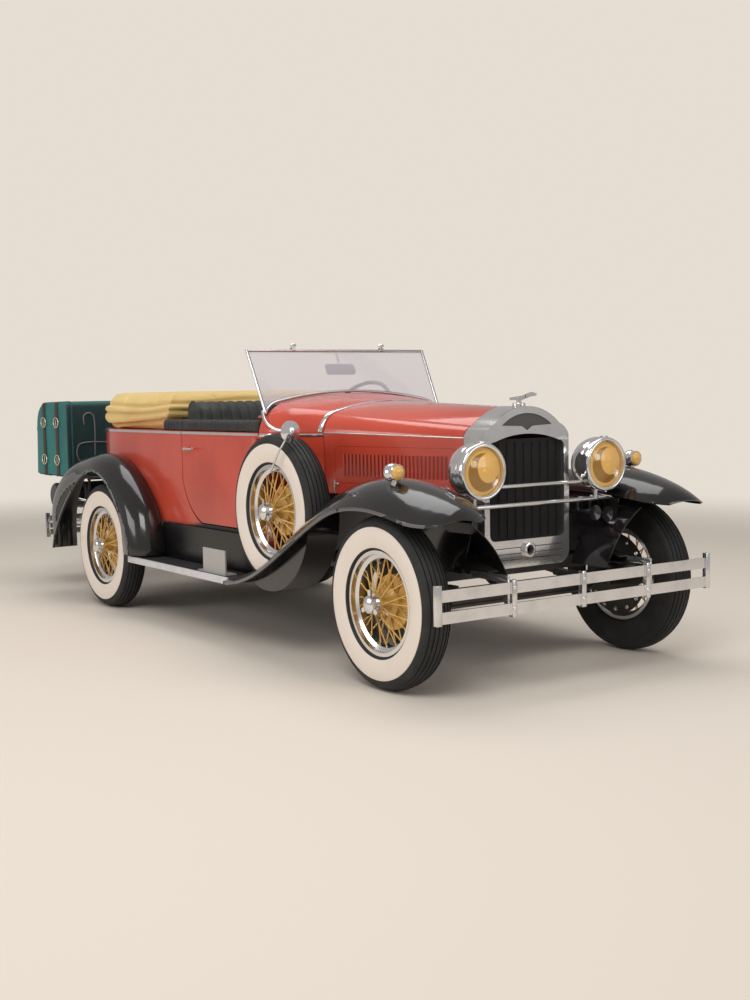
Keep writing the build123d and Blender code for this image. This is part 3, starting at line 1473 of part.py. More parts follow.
# Mirrors strapped to the spare wheels
with BuildPart() as spare_mirror:
    glass_at = (fender_crown + 80, at_y(705), 1121)
    with BuildSketch(Plane.XY.offset(glass_at[2])):
        with BuildLine():
            x0, y0 = glass_at[0], glass_at[1]
            dome_r, dome_drop = dome_middle(52, 16)
            Polyline((x0, y0 + 10), (x0 + 52, y0 + 10), (x0 + 52, y0 + 4))
            ThreePointArc((x0 + 52, y0 + 4), (x0 + dome_r, y0 - 12 + dome_drop), (x0, y0 - 12))
            Line((x0, y0 - 12), (x0, y0 + 10))
        make_face()
    revolve(axis=Axis(glass_at, (0, 1, 0)))
    rim_face = spare_x + bead_half + lip_thick
    foot = (rim_face + 50, at_y(867), 929)
    elbow = (glass_at[0] + 22, at_y(770), 1040)
    bar((glass_at[0], glass_at[1] + 4, glass_at[2]), elbow, 5)
    bar(elbow, foot, 5)
    with Locations(elbow, foot):
        Sphere(6)
    bar(foot, (rim_face + fit, foot[1], foot[2]), 6)

save(both_sides(spare_mirror.part), "spare_mirrors")
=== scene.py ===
"""Looks of an open two-seat car: enamel, plating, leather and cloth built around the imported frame."""

import math

import bpy
from mathutils import Matrix, Vector


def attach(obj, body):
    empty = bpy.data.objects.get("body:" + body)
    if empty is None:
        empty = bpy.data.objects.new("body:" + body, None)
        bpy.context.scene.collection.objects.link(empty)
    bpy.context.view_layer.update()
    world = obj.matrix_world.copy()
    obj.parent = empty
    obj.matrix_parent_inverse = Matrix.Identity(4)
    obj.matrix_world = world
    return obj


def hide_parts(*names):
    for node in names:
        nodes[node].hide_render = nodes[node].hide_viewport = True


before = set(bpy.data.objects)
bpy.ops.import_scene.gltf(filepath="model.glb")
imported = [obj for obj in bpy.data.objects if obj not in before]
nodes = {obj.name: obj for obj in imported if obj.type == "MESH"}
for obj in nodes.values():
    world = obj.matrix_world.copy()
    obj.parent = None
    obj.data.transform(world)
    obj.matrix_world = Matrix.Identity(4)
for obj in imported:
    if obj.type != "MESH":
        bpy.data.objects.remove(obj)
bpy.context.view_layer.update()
scene = bpy.context.scene

# Studio: a pale sheet of paper under and behind the car.
# The floor fades out into the same tone, so that no edge or horizon shows behind the car.
PAGE = (0.791, 0.723, 0.645, 1)


class Wire:
    """One socket in a material. Sums and products written with it add the Math nodes that work them out."""

    def __init__(self, tree, socket):
        self.tree, self.socket = tree, socket

    def make(self, kind, settings=(), inputs=(), out=0):
        """Adds a node, sets it up, and feeds its sockets with values or with other wires."""
        node = self.tree.nodes.new("ShaderNode" + kind)
        for key, value in dict(settings).items():
            setattr(node, key, value)
        for key, value in dict(inputs).items():
            if isinstance(value, Wire):
                self.tree.links.new(value.socket, node.inputs[key])
            else:
                node.inputs[key].default_value = value
        return Wire(self.tree, node.outputs[out])

    def sum(self, operation, first, second=0.0):
        return self.make("Math", {"operation": operation}, {0: first, 1: second})

    def __add__(self, other):
        return self.sum("ADD", self, other)

    def __sub__(self, other):
        return self.sum("SUBTRACT", self, other)

    def __rsub__(self, other):
        return self.sum("SUBTRACT", other, self)

    def __mul__(self, other):
        return self.sum("MULTIPLY", self, other)

    def __pow__(self, other):
        return self.sum("POWER", self, other)

    __radd__, __rmul__ = __add__, __mul__

    def within(self, low, high):
        """1 where this value lies above low, fading to 0 below it over the span up to high."""
        mapped = {"Value": self, "From Min": low, "From Max": high}
        return self.make("MapRange", {"interpolation_type": "SMOOTHSTEP"}, mapped)

    def between(self, low, high, fade=0.001):
        """1 from low to high, fading over a short way past each."""
        return self.within(low, low + fade) * (1 - self.within(high, high + fade))

    def size(self):
        return self.sum("ABSOLUTE", self)

    def either(self, other):
        """The larger of two masks."""
        return self.sum("MAXIMUM", self, other)

    def wave(self):
        return self.sum("SINE", self)

    def blend(self, first, second):
        """Mixes two colours by this value."""
        return self.make("Mix", {"data_type": "RGBA"}, {"Factor": self, 6: first, 7: second}, out=2)

    def noise(self, scale, detail=3.0, roughness=0.5):
        return self.make("TexNoise", {}, {"Vector": self, "Scale": scale, "Detail": detail, "Roughness": roughness})

    def split(self):
        """The three parts of a vector, each as a wire."""
        parts = self.make("SeparateXYZ", {}, {0: self})
        return [Wire(self.tree, socket) for socket in parts.socket.node.outputs]


def coordinates(material):
    """Starts a material and gives the point on the piece, in metres in the car's own frame."""
    material.use_nodes = True
    tree = material.node_tree
    source = tree.nodes.new("ShaderNodeTexCoord")
    return Wire(tree, source.outputs["Object"])


def shader(material):
    """The material's main shader node."""
    return material.node_tree.nodes["Principled BSDF"]


def wear(material, **links):
    """Feeds the main shader: a wire is linked, a number or a colour is set on the socket itself."""
    for key, value in links.items():
        socket = shader(material).inputs[key.replace("_", " ")]
        if isinstance(value, Wire):
            material.node_tree.links.new(value.socket, socket)
        else:
            socket.default_value = value


def base_paint(material):
    """The wire that feeds a material's base colour."""
    return Wire(material.node_tree, shader(material).inputs["Base Color"].links[0].from_socket)


def relief(point, height, distance, strength=1.0):
    """Bump from a height between 0 and 1, over a depth in metres."""
    return point.make("Bump", {}, {"Height": height, "Distance": distance, "Strength": strength})


FADE_START, FADE_END = 3.2, 6.5
floor_finish = bpy.data.materials.new("paper_floor")
place = coordinates(floor_finish)
across, along, up = place.split()
reach = (across * across * 0.5 + along * along * 0.35) ** 0.5
wear(floor_finish, Base_Color=PAGE, Roughness=0.95, Alpha=1 - reach.within(FADE_START, FADE_END))
shader(floor_finish).inputs["Specular IOR Level"].default_value = 0.0

bpy.ops.object.select_all(action="DESELECT")
bpy.ops.mesh.primitive_plane_add(size=36, location=(0, 0, 0))
floor = bpy.context.object
floor.name = "studio_floor"
floor.data.materials.append(floor_finish)

world = bpy.data.worlds.new("studio_air")
scene.world = world
world.use_nodes = True
air = world.node_tree
rays = air.nodes.new("ShaderNodeLightPath")
seen = Wire(air, rays.outputs["Is Camera Ray"])
backdrop = seen.make("Background", {}, {"Color": PAGE, "Strength": 1.0})
glow = seen.make("Background", {}, {"Color": (1.0, 0.97, 0.93, 1), "Strength": 0.42})
chosen = seen.make("MixShader", {}, {0: seen, 1: glow, 2: backdrop})
air.links.new(chosen.socket, air.nodes["World Output"].inputs["Surface"])


def lamp(name, place, target, size, power, tint=(1, 1, 1)):
    """Hangs a soft rectangular studio lamp and turns it to face a point on the car."""
    light = bpy.data.lights.new(name, "AREA")
    light.shape, light.size, light.size_y = "RECTANGLE", size[0], size[1]
    light.energy, light.color = power, tint
    holder = bpy.data.objects.new(name, light)
    scene.collection.objects.link(holder)
    holder.location = place
    holder.rotation_euler = (Vector(target) - Vector(place)).to_track_quat("-Z", "Y").to_euler()


lamp("key_lamp", (-4.2, -5.0, 5.6), (0, -0.4, 0.6), (3.2, 3.2), 195, (1, 0.98, 0.95))
lamp("top_lamp", (0.5, 0.3, 6.2), (0, 0, 0.6), (6.0, 3.0), 145)
lamp("side_lamp", (-7.0, 1.2, 2.6), (-0.6, 0, 0.6), (4.0, 2.0), 85)
lamp("front_lamp", (2.6, -7.6, 2.4), (0, -2, 0.8), (3.0, 2.0), 45)

# Camera: where the picture was seen from, a little above the hood and off the right front wheel.
view_right = Vector((0.82237743, -0.5686659, -0.01773272))
view_up = Vector((0.06079145, 0.05683884, 0.99653086))
view_ahead = Vector((0.56568521, 0.82060249, -0.081313))
lens = bpy.data.cameras.new("camera")
lens.sensor_width, lens.lens = 36, 47.07
camera = bpy.data.objects.new("camera", lens)
scene.collection.objects.link(camera)
turn = Matrix((view_right, view_up, -view_ahead)).transposed().to_4x4()
camera.matrix_world = Matrix.Translation((-3.97579, -6.67092, 1.29467)) @ turn
scene.camera = camera
scene.view_settings.view_transform = "Standard"

# Tyres: balloon tyres of black rubber, with five ribs on the tread and a cream wall on the outer side.
# They are moulded in one piece and seat on the rim's two beads.
AXLES = {"front": -2.05, "rear": 0.94}
SIDES = ((1, "left"), (-1, "right"))
HALF_TRACK, WHEEL_HEIGHT = 0.727, 0.385
SPARE_X, SPARE_Y, SPARE_Z = 0.697, -1.098, 0.723


def picked(piece):
    """Selects one piece alone and makes it the active one."""
    bpy.ops.object.select_all(action="DESELECT")
    piece.select_set(True)
    bpy.context.view_layer.objects.active = piece


def turned(name, profile, steps=64, closed=False):
    """Turns a round piece about the X axis: a ring of the first size, drawn out and resized ring by ring."""
    (first_x, first_r), rest = profile[0], profile[1:]
    bpy.ops.object.select_all(action="DESELECT")
    bpy.ops.mesh.primitive_circle_add(
        vertices=steps, radius=first_r, location=(first_x, 0, 0), rotation=(0, math.pi / 2, 0)
    )
    piece = bpy.context.object
    piece.name = name
    bpy.ops.object.transform_apply(location=True, rotation=True, scale=True)
    bpy.ops.object.mode_set(mode="EDIT")
    bpy.ops.mesh.select_all(action="SELECT")
    x, r = first_x, first_r
    for next_x, next_r in rest:
        bpy.ops.mesh.extrude_edges_move(TRANSFORM_OT_translate={"value": (next_x - x, 0, 0)})
        bpy.ops.transform.resize(value=(1, next_r / r, next_r / r), center_override=(next_x, 0, 0))
        x, r = next_x, next_r
    bpy.ops.mesh.select_all(action="SELECT")
    bpy.ops.mesh.remove_doubles(threshold=0.00005)
    if not closed:
        bpy.ops.mesh.select_all(action="DESELECT")
        bpy.ops.mesh.select_non_manifold()
        bpy.ops.mesh.fill_holes(sides=0)
    bpy.ops.mesh.select_all(action="SELECT")
    bpy.ops.mesh.normals_make_consistent(inside=False)
    bpy.ops.object.mode_set(mode="OBJECT")
    bpy.ops.object.shade_smooth_by_angle(angle=math.radians(40))
    return piece


def fixed(piece, place=(0, 0, 0), turn=(0, 0, 0)):
    """Moves and turns a piece to its place and leaves its object at the origin."""
    picked(piece)
    matrix = Matrix.Translation(place)
    for letter, angle in zip("XYZ", turn):
        matrix = matrix @ Matrix.Rotation(math.radians(angle), 4, letter)
    piece.matrix_world = matrix @ piece.matrix_world
    bpy.ops.object.transform_apply(location=True, rotation=True, scale=True)
    return piece


def another(piece, name):
    """A second piece of the same pattern, with a mesh of its own."""
    twin = piece.copy()
    twin.data = piece.data.copy()
    twin.name = name
    scene.collection.objects.link(twin)
    return twin


rubber = bpy.data.materials.new("tyre_rubber")
point = coordinates(rubber)
dust = point.noise(9, 5).within(0.42, 0.75)
wear(
    rubber,
    Base_Color=(dust * 0.6).blend((0.012, 0.012, 0.013, 1), (0.036, 0.034, 0.032, 1)),
    Roughness=0.55 + point.noise(60) * 0.25,
    Normal=relief(point, point.noise(420, 2), 0.0006),
)

white_wall = bpy.data.materials.new("tyre_white_wall")
point = coordinates(white_wall)
smudge = point.noise(6, 6).within(0.5, 0.85)
wear(
    white_wall,
    Base_Color=(smudge * 0.35).blend((0.83, 0.74, 0.66, 1), (0.62, 0.53, 0.44, 1)),
    Roughness=0.5 + point.noise(30) * 0.2,
    Normal=relief(point, point.noise(300, 2), 0.0003),
)

GROOVES, GROOVE_DEPTH = (0.050, 0.0315, 0.0115), 0.006
TREAD_HALF, TREAD_DROP = 0.0575, 0.0165
WALL_INNER, WALL_OUTER = 0.243, 0.3349
wall = [(0.048, 0.2225), (0.050, 0.2335), (0.0595, 0.2365), (0.0640, 0.2410), (0.0655, 0.2440), (0.0690, 0.2600)]
wall += [(0.0728, 0.2800), (0.0745, 0.2980), (0.0746, 0.3130), (0.0736, 0.3260), (0.0722, 0.3345), (0.0702, 0.3352)]
wall += [(0.0698, 0.3390), (0.0672, 0.3500), (0.0640, 0.3580), (0.0600, 0.3645), (0.0575, 0.3672)]
crown = [(0.0555, 0.3689)]
for groove in GROOVES:
    height = WHEEL_HEIGHT - TREAD_DROP * (groove / TREAD_HALF) ** 2
    crown += [(groove + 0.0028, height - 0.0002), (groove + 0.0022, height - GROOVE_DEPTH)]
    crown += [(groove - 0.0022, height - GROOVE_DEPTH), (groove - 0.0028, height + 0.0001)]
half = wall + crown
section = half + [(-x, r) for x, r in reversed(half)]
tyre = turned("tyre_pattern", section + section[:1], steps=88, closed=True)
tyre.data.materials.append(rubber)
tyre.data.materials.append(white_wall)
for face in tyre.data.polygons:
    radius = math.hypot(face.center.y, face.center.z)
    if face.center.x > 0.06 and WALL_INNER < radius < WALL_OUTER:
        face.material_index = 1


def tyre_on(name, side, place, node, body):
    """Fits a tyre at a wheel, with its cream wall facing out."""
    ring = fixed(another(tyre, name), (side * place[0], *place[1:]), (0, 0, 0 if side > 0 else 180))
    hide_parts(node)
    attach(ring, body)


for axle, along in AXLES.items():
    for side, label in SIDES:
        corner = f"{axle}_{label}"
        place = (HALF_TRACK, along, WHEEL_HEIGHT)
        tyre_on(f"balloon_tyre_{corner}", side, place, f"tyre_{corner}", f"wheel_{corner}")
for side, label in SIDES:
    tyre_on(f"spare_tyre_{label}", side, (SPARE_X, SPARE_Y, SPARE_Z), "spare_tyres", "chassis")
bpy.data.objects.remove(tyre)

# Wire wheels: crossed spokes, hub and drum in golden enamel, with a plated rim and a plated knock-off cap.
# Each is laced, trued and painted before the rim's beads and the cap are polished bright.
BRIGHT = (0.80, 0.79, 0.79, 1)
RIM_START = 0.1925


def dress(finish, *names):
    """Gives CAD nodes their finish."""
    for name in names:
        nodes[name].data.materials.clear()
        nodes[name].data.materials.append(finish)


def wire_wheel_finish(name, along, height, cap_start):
    """Gold inside, plating on the rim and on the cap that stands proud of the hub."""
    finish = bpy.data.materials.new(name)
    point = coordinates(finish)
    across, length, up = point.split()
    radius = ((length - along) ** 2.0 + (up - height) ** 2.0) ** 0.5
    rim = radius.within(RIM_START, RIM_START + 0.002)
    bright = rim.either(across.size().within(cap_start, cap_start + 0.002))
    tone = point.noise(14, 4).within(0.35, 0.7)
    gold = tone.blend((0.80, 0.50, 0.13, 1), (0.64, 0.34, 0.065, 1))
    grime = (1 - radius.within(0.05, 0.13)) * 0.35
    wear(
        finish,
        Base_Color=bright.blend(grime.blend(gold, (0.25, 0.13, 0.03, 1)), BRIGHT),
        Metallic=bright,
        Roughness=0.32 - bright * 0.2 + point.noise(40) * 0.08,
        Coat_Weight=(1 - bright) * 0.5,
        Normal=relief(point, point.noise(260, 2), 0.0002),
    )
    return finish


for axle, along in AXLES.items():
    finish = wire_wheel_finish(f"{axle}_wheel_gold", along, WHEEL_HEIGHT, 0.8015)
    dress(finish, f"wheel_{axle}_left", f"wheel_{axle}_right")
dress(wire_wheel_finish("spare_wheel_gold", SPARE_Y, SPARE_Z, 0.7715), "spare_wheels")

# Chassis: rails, springs, axles, steering rod and floor in satin black enamel, dulled by road dust.
# The rails are riveted pressings and the springs clipped leaves; engine and exhaust are plain grey iron.


def iron(name, fresh, dusty, roughness, grain, metallic=0.0):
    """Painted or bare iron: dust gathers low down and in patches, over a fine cast grain."""
    finish = bpy.data.materials.new(name)
    point = coordinates(finish)
    across, along, up = point.split()
    dust = point.noise(7, 5).within(0.38, 0.8) * (1.15 - up.within(0.2, 0.75))
    wear(
        finish,
        Base_Color=(dust * 0.7).blend(fresh, dusty),
        Roughness=roughness + point.noise(28) * 0.2,
        Metallic=metallic,
        Normal=relief(point, point.noise(grain, 3), 0.0008),
    )
    return finish


frame_black = iron("frame_black", (0.014, 0.013, 0.014, 1), (0.085, 0.07, 0.055, 1), 0.32, 180)
cast_grey = iron("cast_grey", (0.16, 0.165, 0.165, 1), (0.20, 0.16, 0.12, 1), 0.5, 320, 0.35)
dress(frame_black, "chassis_frame", "leaf_springs", "front_axle", "rear_axle", "track_rod", "floor_pan")
dress(frame_black, "knuckle_left", "knuckle_right", "steering_column")
dress(cast_grey, "engine_block", "exhaust")

# Brake backing plates: black pressings behind the drums, held by a ring of bright bolts.
# The bolts are turned hexagon heads with a washer face, screwed in from the inboard side.
PLATE_INNER, BOLT_RING, BOLT_COUNT = 0.651, 0.178, 14


def plating(name, tone=BRIGHT, roughness=0.09, smear=0.10):
    """Nickel or chromium plate: bright, a little cloudy, with fine polishing marks."""
    finish = bpy.data.materials.new(name)
    point = coordinates(finish)
    haze = point.noise(11, 5).within(0.4, 0.8)
    dull = tuple(0.72 * part for part in tone[:3]) + (1,)
    wear(
        finish,
        Base_Color=(haze * 0.5).blend(tone, dull),
        Metallic=0.92,
        Roughness=roughness + haze * smear,
        Normal=relief(point, point.noise(90, 3), 0.0002),
    )
    return finish


def joined(pieces, name):
    """Several pieces as one mesh."""
    bpy.ops.object.select_all(action="DESELECT")
    for piece in pieces:
        piece.select_set(True)
    bpy.context.view_layer.objects.active = pieces[0]
    if len(pieces) > 1:
        bpy.ops.object.join()
    pieces[0].name = name
    return pieces[0]


def ready(piece, finish, slot, body, *stands_for):
    """Finishes a new piece: its material, the body it rides, and the nodes it stands for. The slot argument is not
    used.
    """
    piece.data.materials.clear()
    piece.data.materials.append(finish)
    if stands_for:
        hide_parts(*stands_for)
    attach(piece, body)
    return piece


bright_plate = plating("bright_plate")


def chromed(piece, body="chassis"):
    """Finishes a new piece in bright plate."""
    return ready(piece, bright_plate, "chrome", body)


bolt_shape = [(0, 0.011), (0.0015, 0.011), (0.0016, 0.0088), (0.0066, 0.0086), (0.0085, 0.006)]
bolt = turned("bolt_pattern", bolt_shape, steps=6)
for side, label in SIDES:
    turn = 180 if side > 0 else 0
    for axle, body in (("front", f"knuckle_{label}"), ("rear", "chassis")):
        along = AXLES[axle]
        ring = []
        for i in range(BOLT_COUNT):
            angle = 2 * math.pi * (i + 0.5) / BOLT_COUNT
            aside, rise = BOLT_RING * math.cos(angle), BOLT_RING * math.sin(angle)
            place = (side * PLATE_INNER, along + aside, WHEEL_HEIGHT + rise)
            ring.append(fixed(another(bolt, "bolt"), place, (0, 0, turn)))
        chromed(joined(ring, f"plate_bolts_{axle}_{label}"), body)
bpy.data.objects.remove(bolt)

# Fenders and aprons: deep-drawn steel in gloss black, each edge rolled over a wire.
# The skins bolt to the frame and the hood ledges, and the rolled edge stands a little proud all the way round. The
# bead is enamelled mid grey as a painted highlight along the black edge.
BEAD_PROUD = 0.0045
FRONT_LIP, NOSE_LIP, NOSE_END, REAR_LIP = 0.8313, 0.80, -2.3, 0.8255


def enamel(name, colour, shade, roughness=0.13, dust=0.3):
    """Sprayed and flatted enamel: slow changes of tone, a film of dust low down, faint ripple under the gloss."""
    finish = bpy.data.materials.new(name)
    point = coordinates(finish)
    across, along, up = point.split()
    cloud = point.noise(1.7, 4).within(0.3, 0.75)
    low = (1 - up.within(0.35, 0.75)) * point.noise(5, 5).within(0.35, 0.8)
    film = (low * dust).blend(cloud.blend(colour, shade), (0.22, 0.17, 0.13, 1))
    wear(
        finish,
        Base_Color=film,
        Roughness=roughness + point.noise(24) * 0.08 + low * 0.25,
        Coat_Weight=0.45,
        Normal=relief(point, point.noise(3.5, 2), 0.004, 0.35),
    )
    return finish


def merged(node, name):
    """A copy of a CAD node with its loose triangles joined, to be cut or rounded as a new piece."""
    mesh = nodes[node].data.copy()
    piece = bpy.data.objects.new(name, mesh)
    scene.collection.objects.link(piece)
    picked(piece)
    bpy.ops.object.mode_set(mode="EDIT")
    bpy.ops.mesh.select_all(action="SELECT")
    bpy.ops.mesh.remove_doubles(threshold=0.00002)
    bpy.ops.object.mode_set(mode="OBJECT")
    return piece


def applied(piece, kind, **settings):
    """Adds a modifier, sets it up and applies it."""
    picked(piece)
    modifier = piece.modifiers.new(kind.lower(), kind)
    for key, value in settings.items():
        setattr(modifier, key, value)
    bpy.ops.object.modifier_apply(modifier=modifier.name)


def ground(piece, width, segments=3, sharp=35):
    """Grinds round the edges that are sharper than an angle, and shades the rest smooth."""
    applied(
        piece, "BEVEL", width=width, segments=segments, limit_method="ANGLE", angle_limit=math.radians(sharp)
    )
    bpy.ops.object.shade_smooth_by_angle(angle=math.radians(35))


def band(name, node, cuts, chosen, proud):
    """A strip of a CAD node's own surface between cutting planes, raised from it by a thickness."""
    strip = merged(node, name)
    bpy.ops.object.mode_set(mode="EDIT")
    for place, normal in cuts:
        bpy.ops.mesh.select_all(action="SELECT")
        bpy.ops.mesh.bisect(plane_co=place, plane_no=normal, clear_outer=True)
    bpy.ops.mesh.select_all(action="DESELECT")
    bpy.ops.object.mode_set(mode="OBJECT")
    for face in strip.data.polygons:
        face.select = not chosen(face.center, face.normal)
    bpy.ops.object.mode_set(mode="EDIT")
    bpy.ops.mesh.select_mode(type="FACE")
    bpy.ops.mesh.delete(type="FACE")
    bpy.ops.mesh.select_mode(type="VERT")
    bpy.ops.object.mode_set(mode="OBJECT")
    applied(strip, "SOLIDIFY", thickness=proud, offset=1.0, use_even_offset=True)
    ground(strip, proud * 0.3, 2, 50)
    return strip


def outward(place):
    """Which way is away from the car's middle at a point."""
    return 1 if place.x > 0 else -1


def on_front_lip(place, normal):
    lip = FRONT_LIP if place.y > NOSE_END else NOSE_LIP
    return normal.x * outward(place) > 0.9 and abs(place.x) > lip


def on_rear_lip(place, normal):
    return normal.x * outward(place) > 0.95 and abs(place.x) > REAR_LIP


fender_black = enamel("fender_black", (0.0065, 0.006, 0.0065, 1), (0.013, 0.012, 0.013, 1), 0.10, 0.08)
# This grey on the fender beads is a painted highlight along their black edges; the trunk stays and tank straps use it
# as their own grey.
bead_highlight_and_strap_grey = enamel("bead_highlight_and_strap_grey", (0.10, 0.095, 0.10, 1), (0.14, 0.13, 0.135, 1), 0.16, 0.1)
dress(fender_black, "front_fenders", "rear_fenders", "hood_ledges", "fuel_tank")

for end, on_lip in (("front", on_front_lip), ("rear", on_rear_lip)):
    bead = band(f"{end}_fender_bead", f"{end}_fenders", (), on_lip, BEAD_PROUD)
    ready(bead, bead_highlight_and_strap_grey, "fender_black", "chassis")

# Body: cowl, hood, doors and tail, pressed from sheet steel and sprayed in tomato-red enamel.
# The dash, the door linings and the cockpit's inner faces are covered in black leather cloth.
BODY_RED, BODY_SHADE = (0.64, 0.078, 0.042, 1), (0.47, 0.045, 0.022, 1)
DASH_FACE = -0.728


def body_finish(name, bright=None, trimmed=None):
    """Red enamel outside; masks of the point give plated parts, and leather cloth on the inner faces."""
    finish = enamel(name, BODY_RED, BODY_SHADE, 0.12, 0.18)
    paint = base_paint(finish)
    point = coordinates(finish)
    across, along, up = point.split()
    reach = across.size()
    if bright:
        plated = bright(reach, along, up)
        paint = plated.blend(paint, BRIGHT)
        wear(finish, Metallic=plated * 0.92, Roughness=0.2 - plated * 0.1 + point.noise(24) * 0.06)
    if trimmed:
        inside = trimmed(reach, along, up)
        grain = point.noise(160, 3)
        wear(finish, Roughness=0.2 + inside * 0.4 + grain * 0.05, Coat_Weight=(1 - inside) * 0.45)
        paint = inside.blend(paint, (0.022, 0.022, 0.024, 1))
    wear(finish, Base_Color=paint)
    return finish


hood_paint = body_finish("hood_red")
hood_side_paint = body_finish("hood_side_red", lambda reach, along, up: (up - along * 0.02007).within(1.1213, 1.1218))
door_paint = body_finish(
    "door_red",
    lambda reach, along, up: reach.within(0.6355, 0.6365),
    lambda reach, along, up: 1 - (reach - along * 0.0286).within(0.6035, 0.6075),
)
cowl_paint = body_finish(
    "cowl_red",
    lambda reach, along, up: (1 - reach.within(0.006, 0.0065)) * (1 - along.within(-1.088, -1.087)),
    lambda reach, along, up: along.within(DASH_FACE - 0.014, DASH_FACE - 0.012)
    * (1 - reach.within(0.56, 0.57))
    * (1 - up.within(1.24, 1.25)),
)
tail_paint = body_finish(
    "tail_red",
    None,
    lambda reach, along, up: (1 - reach.within(0.611, 0.613))
    * (1 - along.within(0.95, 0.96))
    * (1 - up.within(1.086, 1.088)),
)
dress(hood_paint, "hood_top_left", "hood_top_right")
dress(hood_side_paint, "hood_side_left", "hood_side_right")
dress(door_paint, "door_left", "door_right")
dress(cowl_paint, "cowl")
dress(tail_paint, "body_shell")

# Louvres: the slots between the ribs of the hood's sides are painted dark red, as painted shade.
# A rounded outline round the whole row of them is painted in a lighter strength of the same shade, with no relief.
LOUVRE_FIRST, LOUVRE_PITCH = -1.885, 0.66 / 26
LOUVRE_ROW, LOUVRE_SPAN = (-1.896, -1.217), (0.888, 0.996)
PANEL_MIDDLE, PANEL_HALF, PANEL_CORNER = (-1.555, 0.943), (0.365, 0.062), 0.0270

point = coordinates(hood_side_paint)
across, along, up = point.split()
slots = (along - LOUVRE_FIRST) * (1 / LOUVRE_PITCH) + 0.75
slot = slots.sum("FRACT", slots).between(0.30, 0.68, 0.08)
slot = slot * up.between(*LOUVRE_SPAN, 0.002) * along.between(*LOUVRE_ROW)
beside = (along - PANEL_MIDDLE[0]).size() - PANEL_HALF[0]
beyond = (up - PANEL_MIDDLE[1]).size() - PANEL_HALF[1]
border = (beside.either(0.0) ** 2.0 + beyond.either(0.0) ** 2.0) ** 0.5
# The outline round the row is painted shade only, with no relief under it.
painted_outline_shade = border.between(PANEL_CORNER, PANEL_CORNER + 0.003)
shadow = slot.either(painted_outline_shade * 0.7) * 0.85
wear(hood_side_paint, Base_Color=shadow.blend(base_paint(hood_side_paint), (0.16, 0.012, 0.006, 1)))

# Belt moulding: plated half-round strip along the top of the red panels, pinned from behind.
# A second strip arches over the cowl where the hood shuts against it.
MOULDING_LOW, MOULDING_HIGH, MOULDING_PROUD = 1.083, 1.096, 0.005


def on_flank(place, normal):
    side_on = normal.x * outward(place) > 0.25 and abs(place.x) > 0.43
    return side_on or normal.y > 0.35 and place.y > 1.2


def belt_moulding(name, node, body, *cuts):
    """A length of the moulding on one panel."""
    planes = [((0, 0, MOULDING_HIGH), (0, 0, 1)), ((0, 0, MOULDING_LOW), (0, 0, -1)), *cuts]
    chromed(band(name, node, planes, on_flank, MOULDING_PROUD), body)


belt_moulding("belt_moulding_tail", "body_shell", "chassis")
belt_moulding("belt_moulding_cowl", "cowl", "chassis", ((0, DASH_FACE, 0), (0, 1, 0)))
belt_moulding("belt_moulding_door_left", "door_left", "door_left")
belt_moulding("belt_moulding_door_right", "door_right", "door_right")
arch = band(
    "cowl_arch_moulding",
    "cowl",
    [((0, -1.064, 0), (0, 1, 0)), ((0, -1.080, 0), (0, -1, 0)), ((0, 0, 1.10), (0, 0, -1))],
    lambda c, n: n.z > 0.15 and c.z > 1.1 or n.x * outward(c) > 0.4 and abs(c.x) > 0.43,
    0.004,
)
chromed(arch)

# Hood catches: small plated castings, two to each side panel of the hood.
# Each is a turned stud screwed to the panel, with a bent pull hung on it.
CATCH_Z = 0.845

def rod(name, points, radius, closed=False, sides=4):
    """A bent rod along a smooth line through the given points."""
    line = bpy.data.curves.new(name, "CURVE")
    line.dimensions, line.bevel_depth, line.bevel_resolution, line.use_fill_caps = "3D", radius, sides, True
    run = line.splines.new("BEZIER")
    run.bezier_points.add(len(points) - 1)
    run.use_cyclic_u, run.resolution_u = closed, 8
    for knot, place in zip(run.bezier_points, points):
        knot.co = place
        knot.handle_left_type = knot.handle_right_type = "AUTO"
    holder = bpy.data.objects.new(name, line)
    scene.collection.objects.link(holder)
    picked(holder)
    bpy.ops.object.convert(target="MESH")
    piece = bpy.context.object
    bpy.ops.object.shade_smooth_by_angle(angle=math.radians(40))
    return piece


def plate(name, low, high, bevel=0.003, turn=(0, 0, 0), segments=3):
    """A plate or bar with rounded edges between two corners, turned about its own middle."""
    middle = [(a + b) / 2 for a, b in zip(low, high)]
    bpy.ops.object.select_all(action="DESELECT")
    bpy.ops.mesh.primitive_cube_add(size=1)
    piece = bpy.context.object
    piece.name = name
    piece.scale = [b - a for a, b in zip(low, high)]
    bpy.ops.object.transform_apply(location=False, rotation=False, scale=True)
    applied(piece, "BEVEL", width=bevel, segments=segments)
    bpy.ops.object.shade_smooth_by_angle(angle=math.radians(35))
    return fixed(piece, middle, turn)


for side, label in SIDES:
    for i, along in enumerate((-1.905, -1.175)):
        reach = 0.255 + (along + 1.988) / 0.897 * 0.172 + 0.002
        stud = turned("stud", [(-0.002, 0.010), (0.004, 0.010), (0.006, 0.006), (0.020, 0.005)], 20)
        stud = fixed(stud, (side * reach, along, CATCH_Z), (0, 0, 0 if side > 0 else 180))
        grip = [(side * (reach + 0.018), along, z) for z in (0.868, 0.850, 0.820)]
        grip.append((side * (reach + 0.012), along, 0.800))
        catch = joined([stud, rod("pull", grip, 0.0055)], f"hood_catch_{label}_{i + 1}")
        chromed(catch, f"hood_side_{label}")

# Radiator: a plated shell with a grooved apron, a dark peaked panel and a woven stone guard.
# The guard is black wire, crossed on the slant, held in its opening ahead of the core.
APRON_TOP, GUARD_FACE, GUARD_MIDDLE = 0.604, -2.128, 0.845
GUARD_HALF, GUARD_LOW, GUARD_HIGH, GUARD_WIRE = 0.2275, 0.613, 1.078, 0.0022

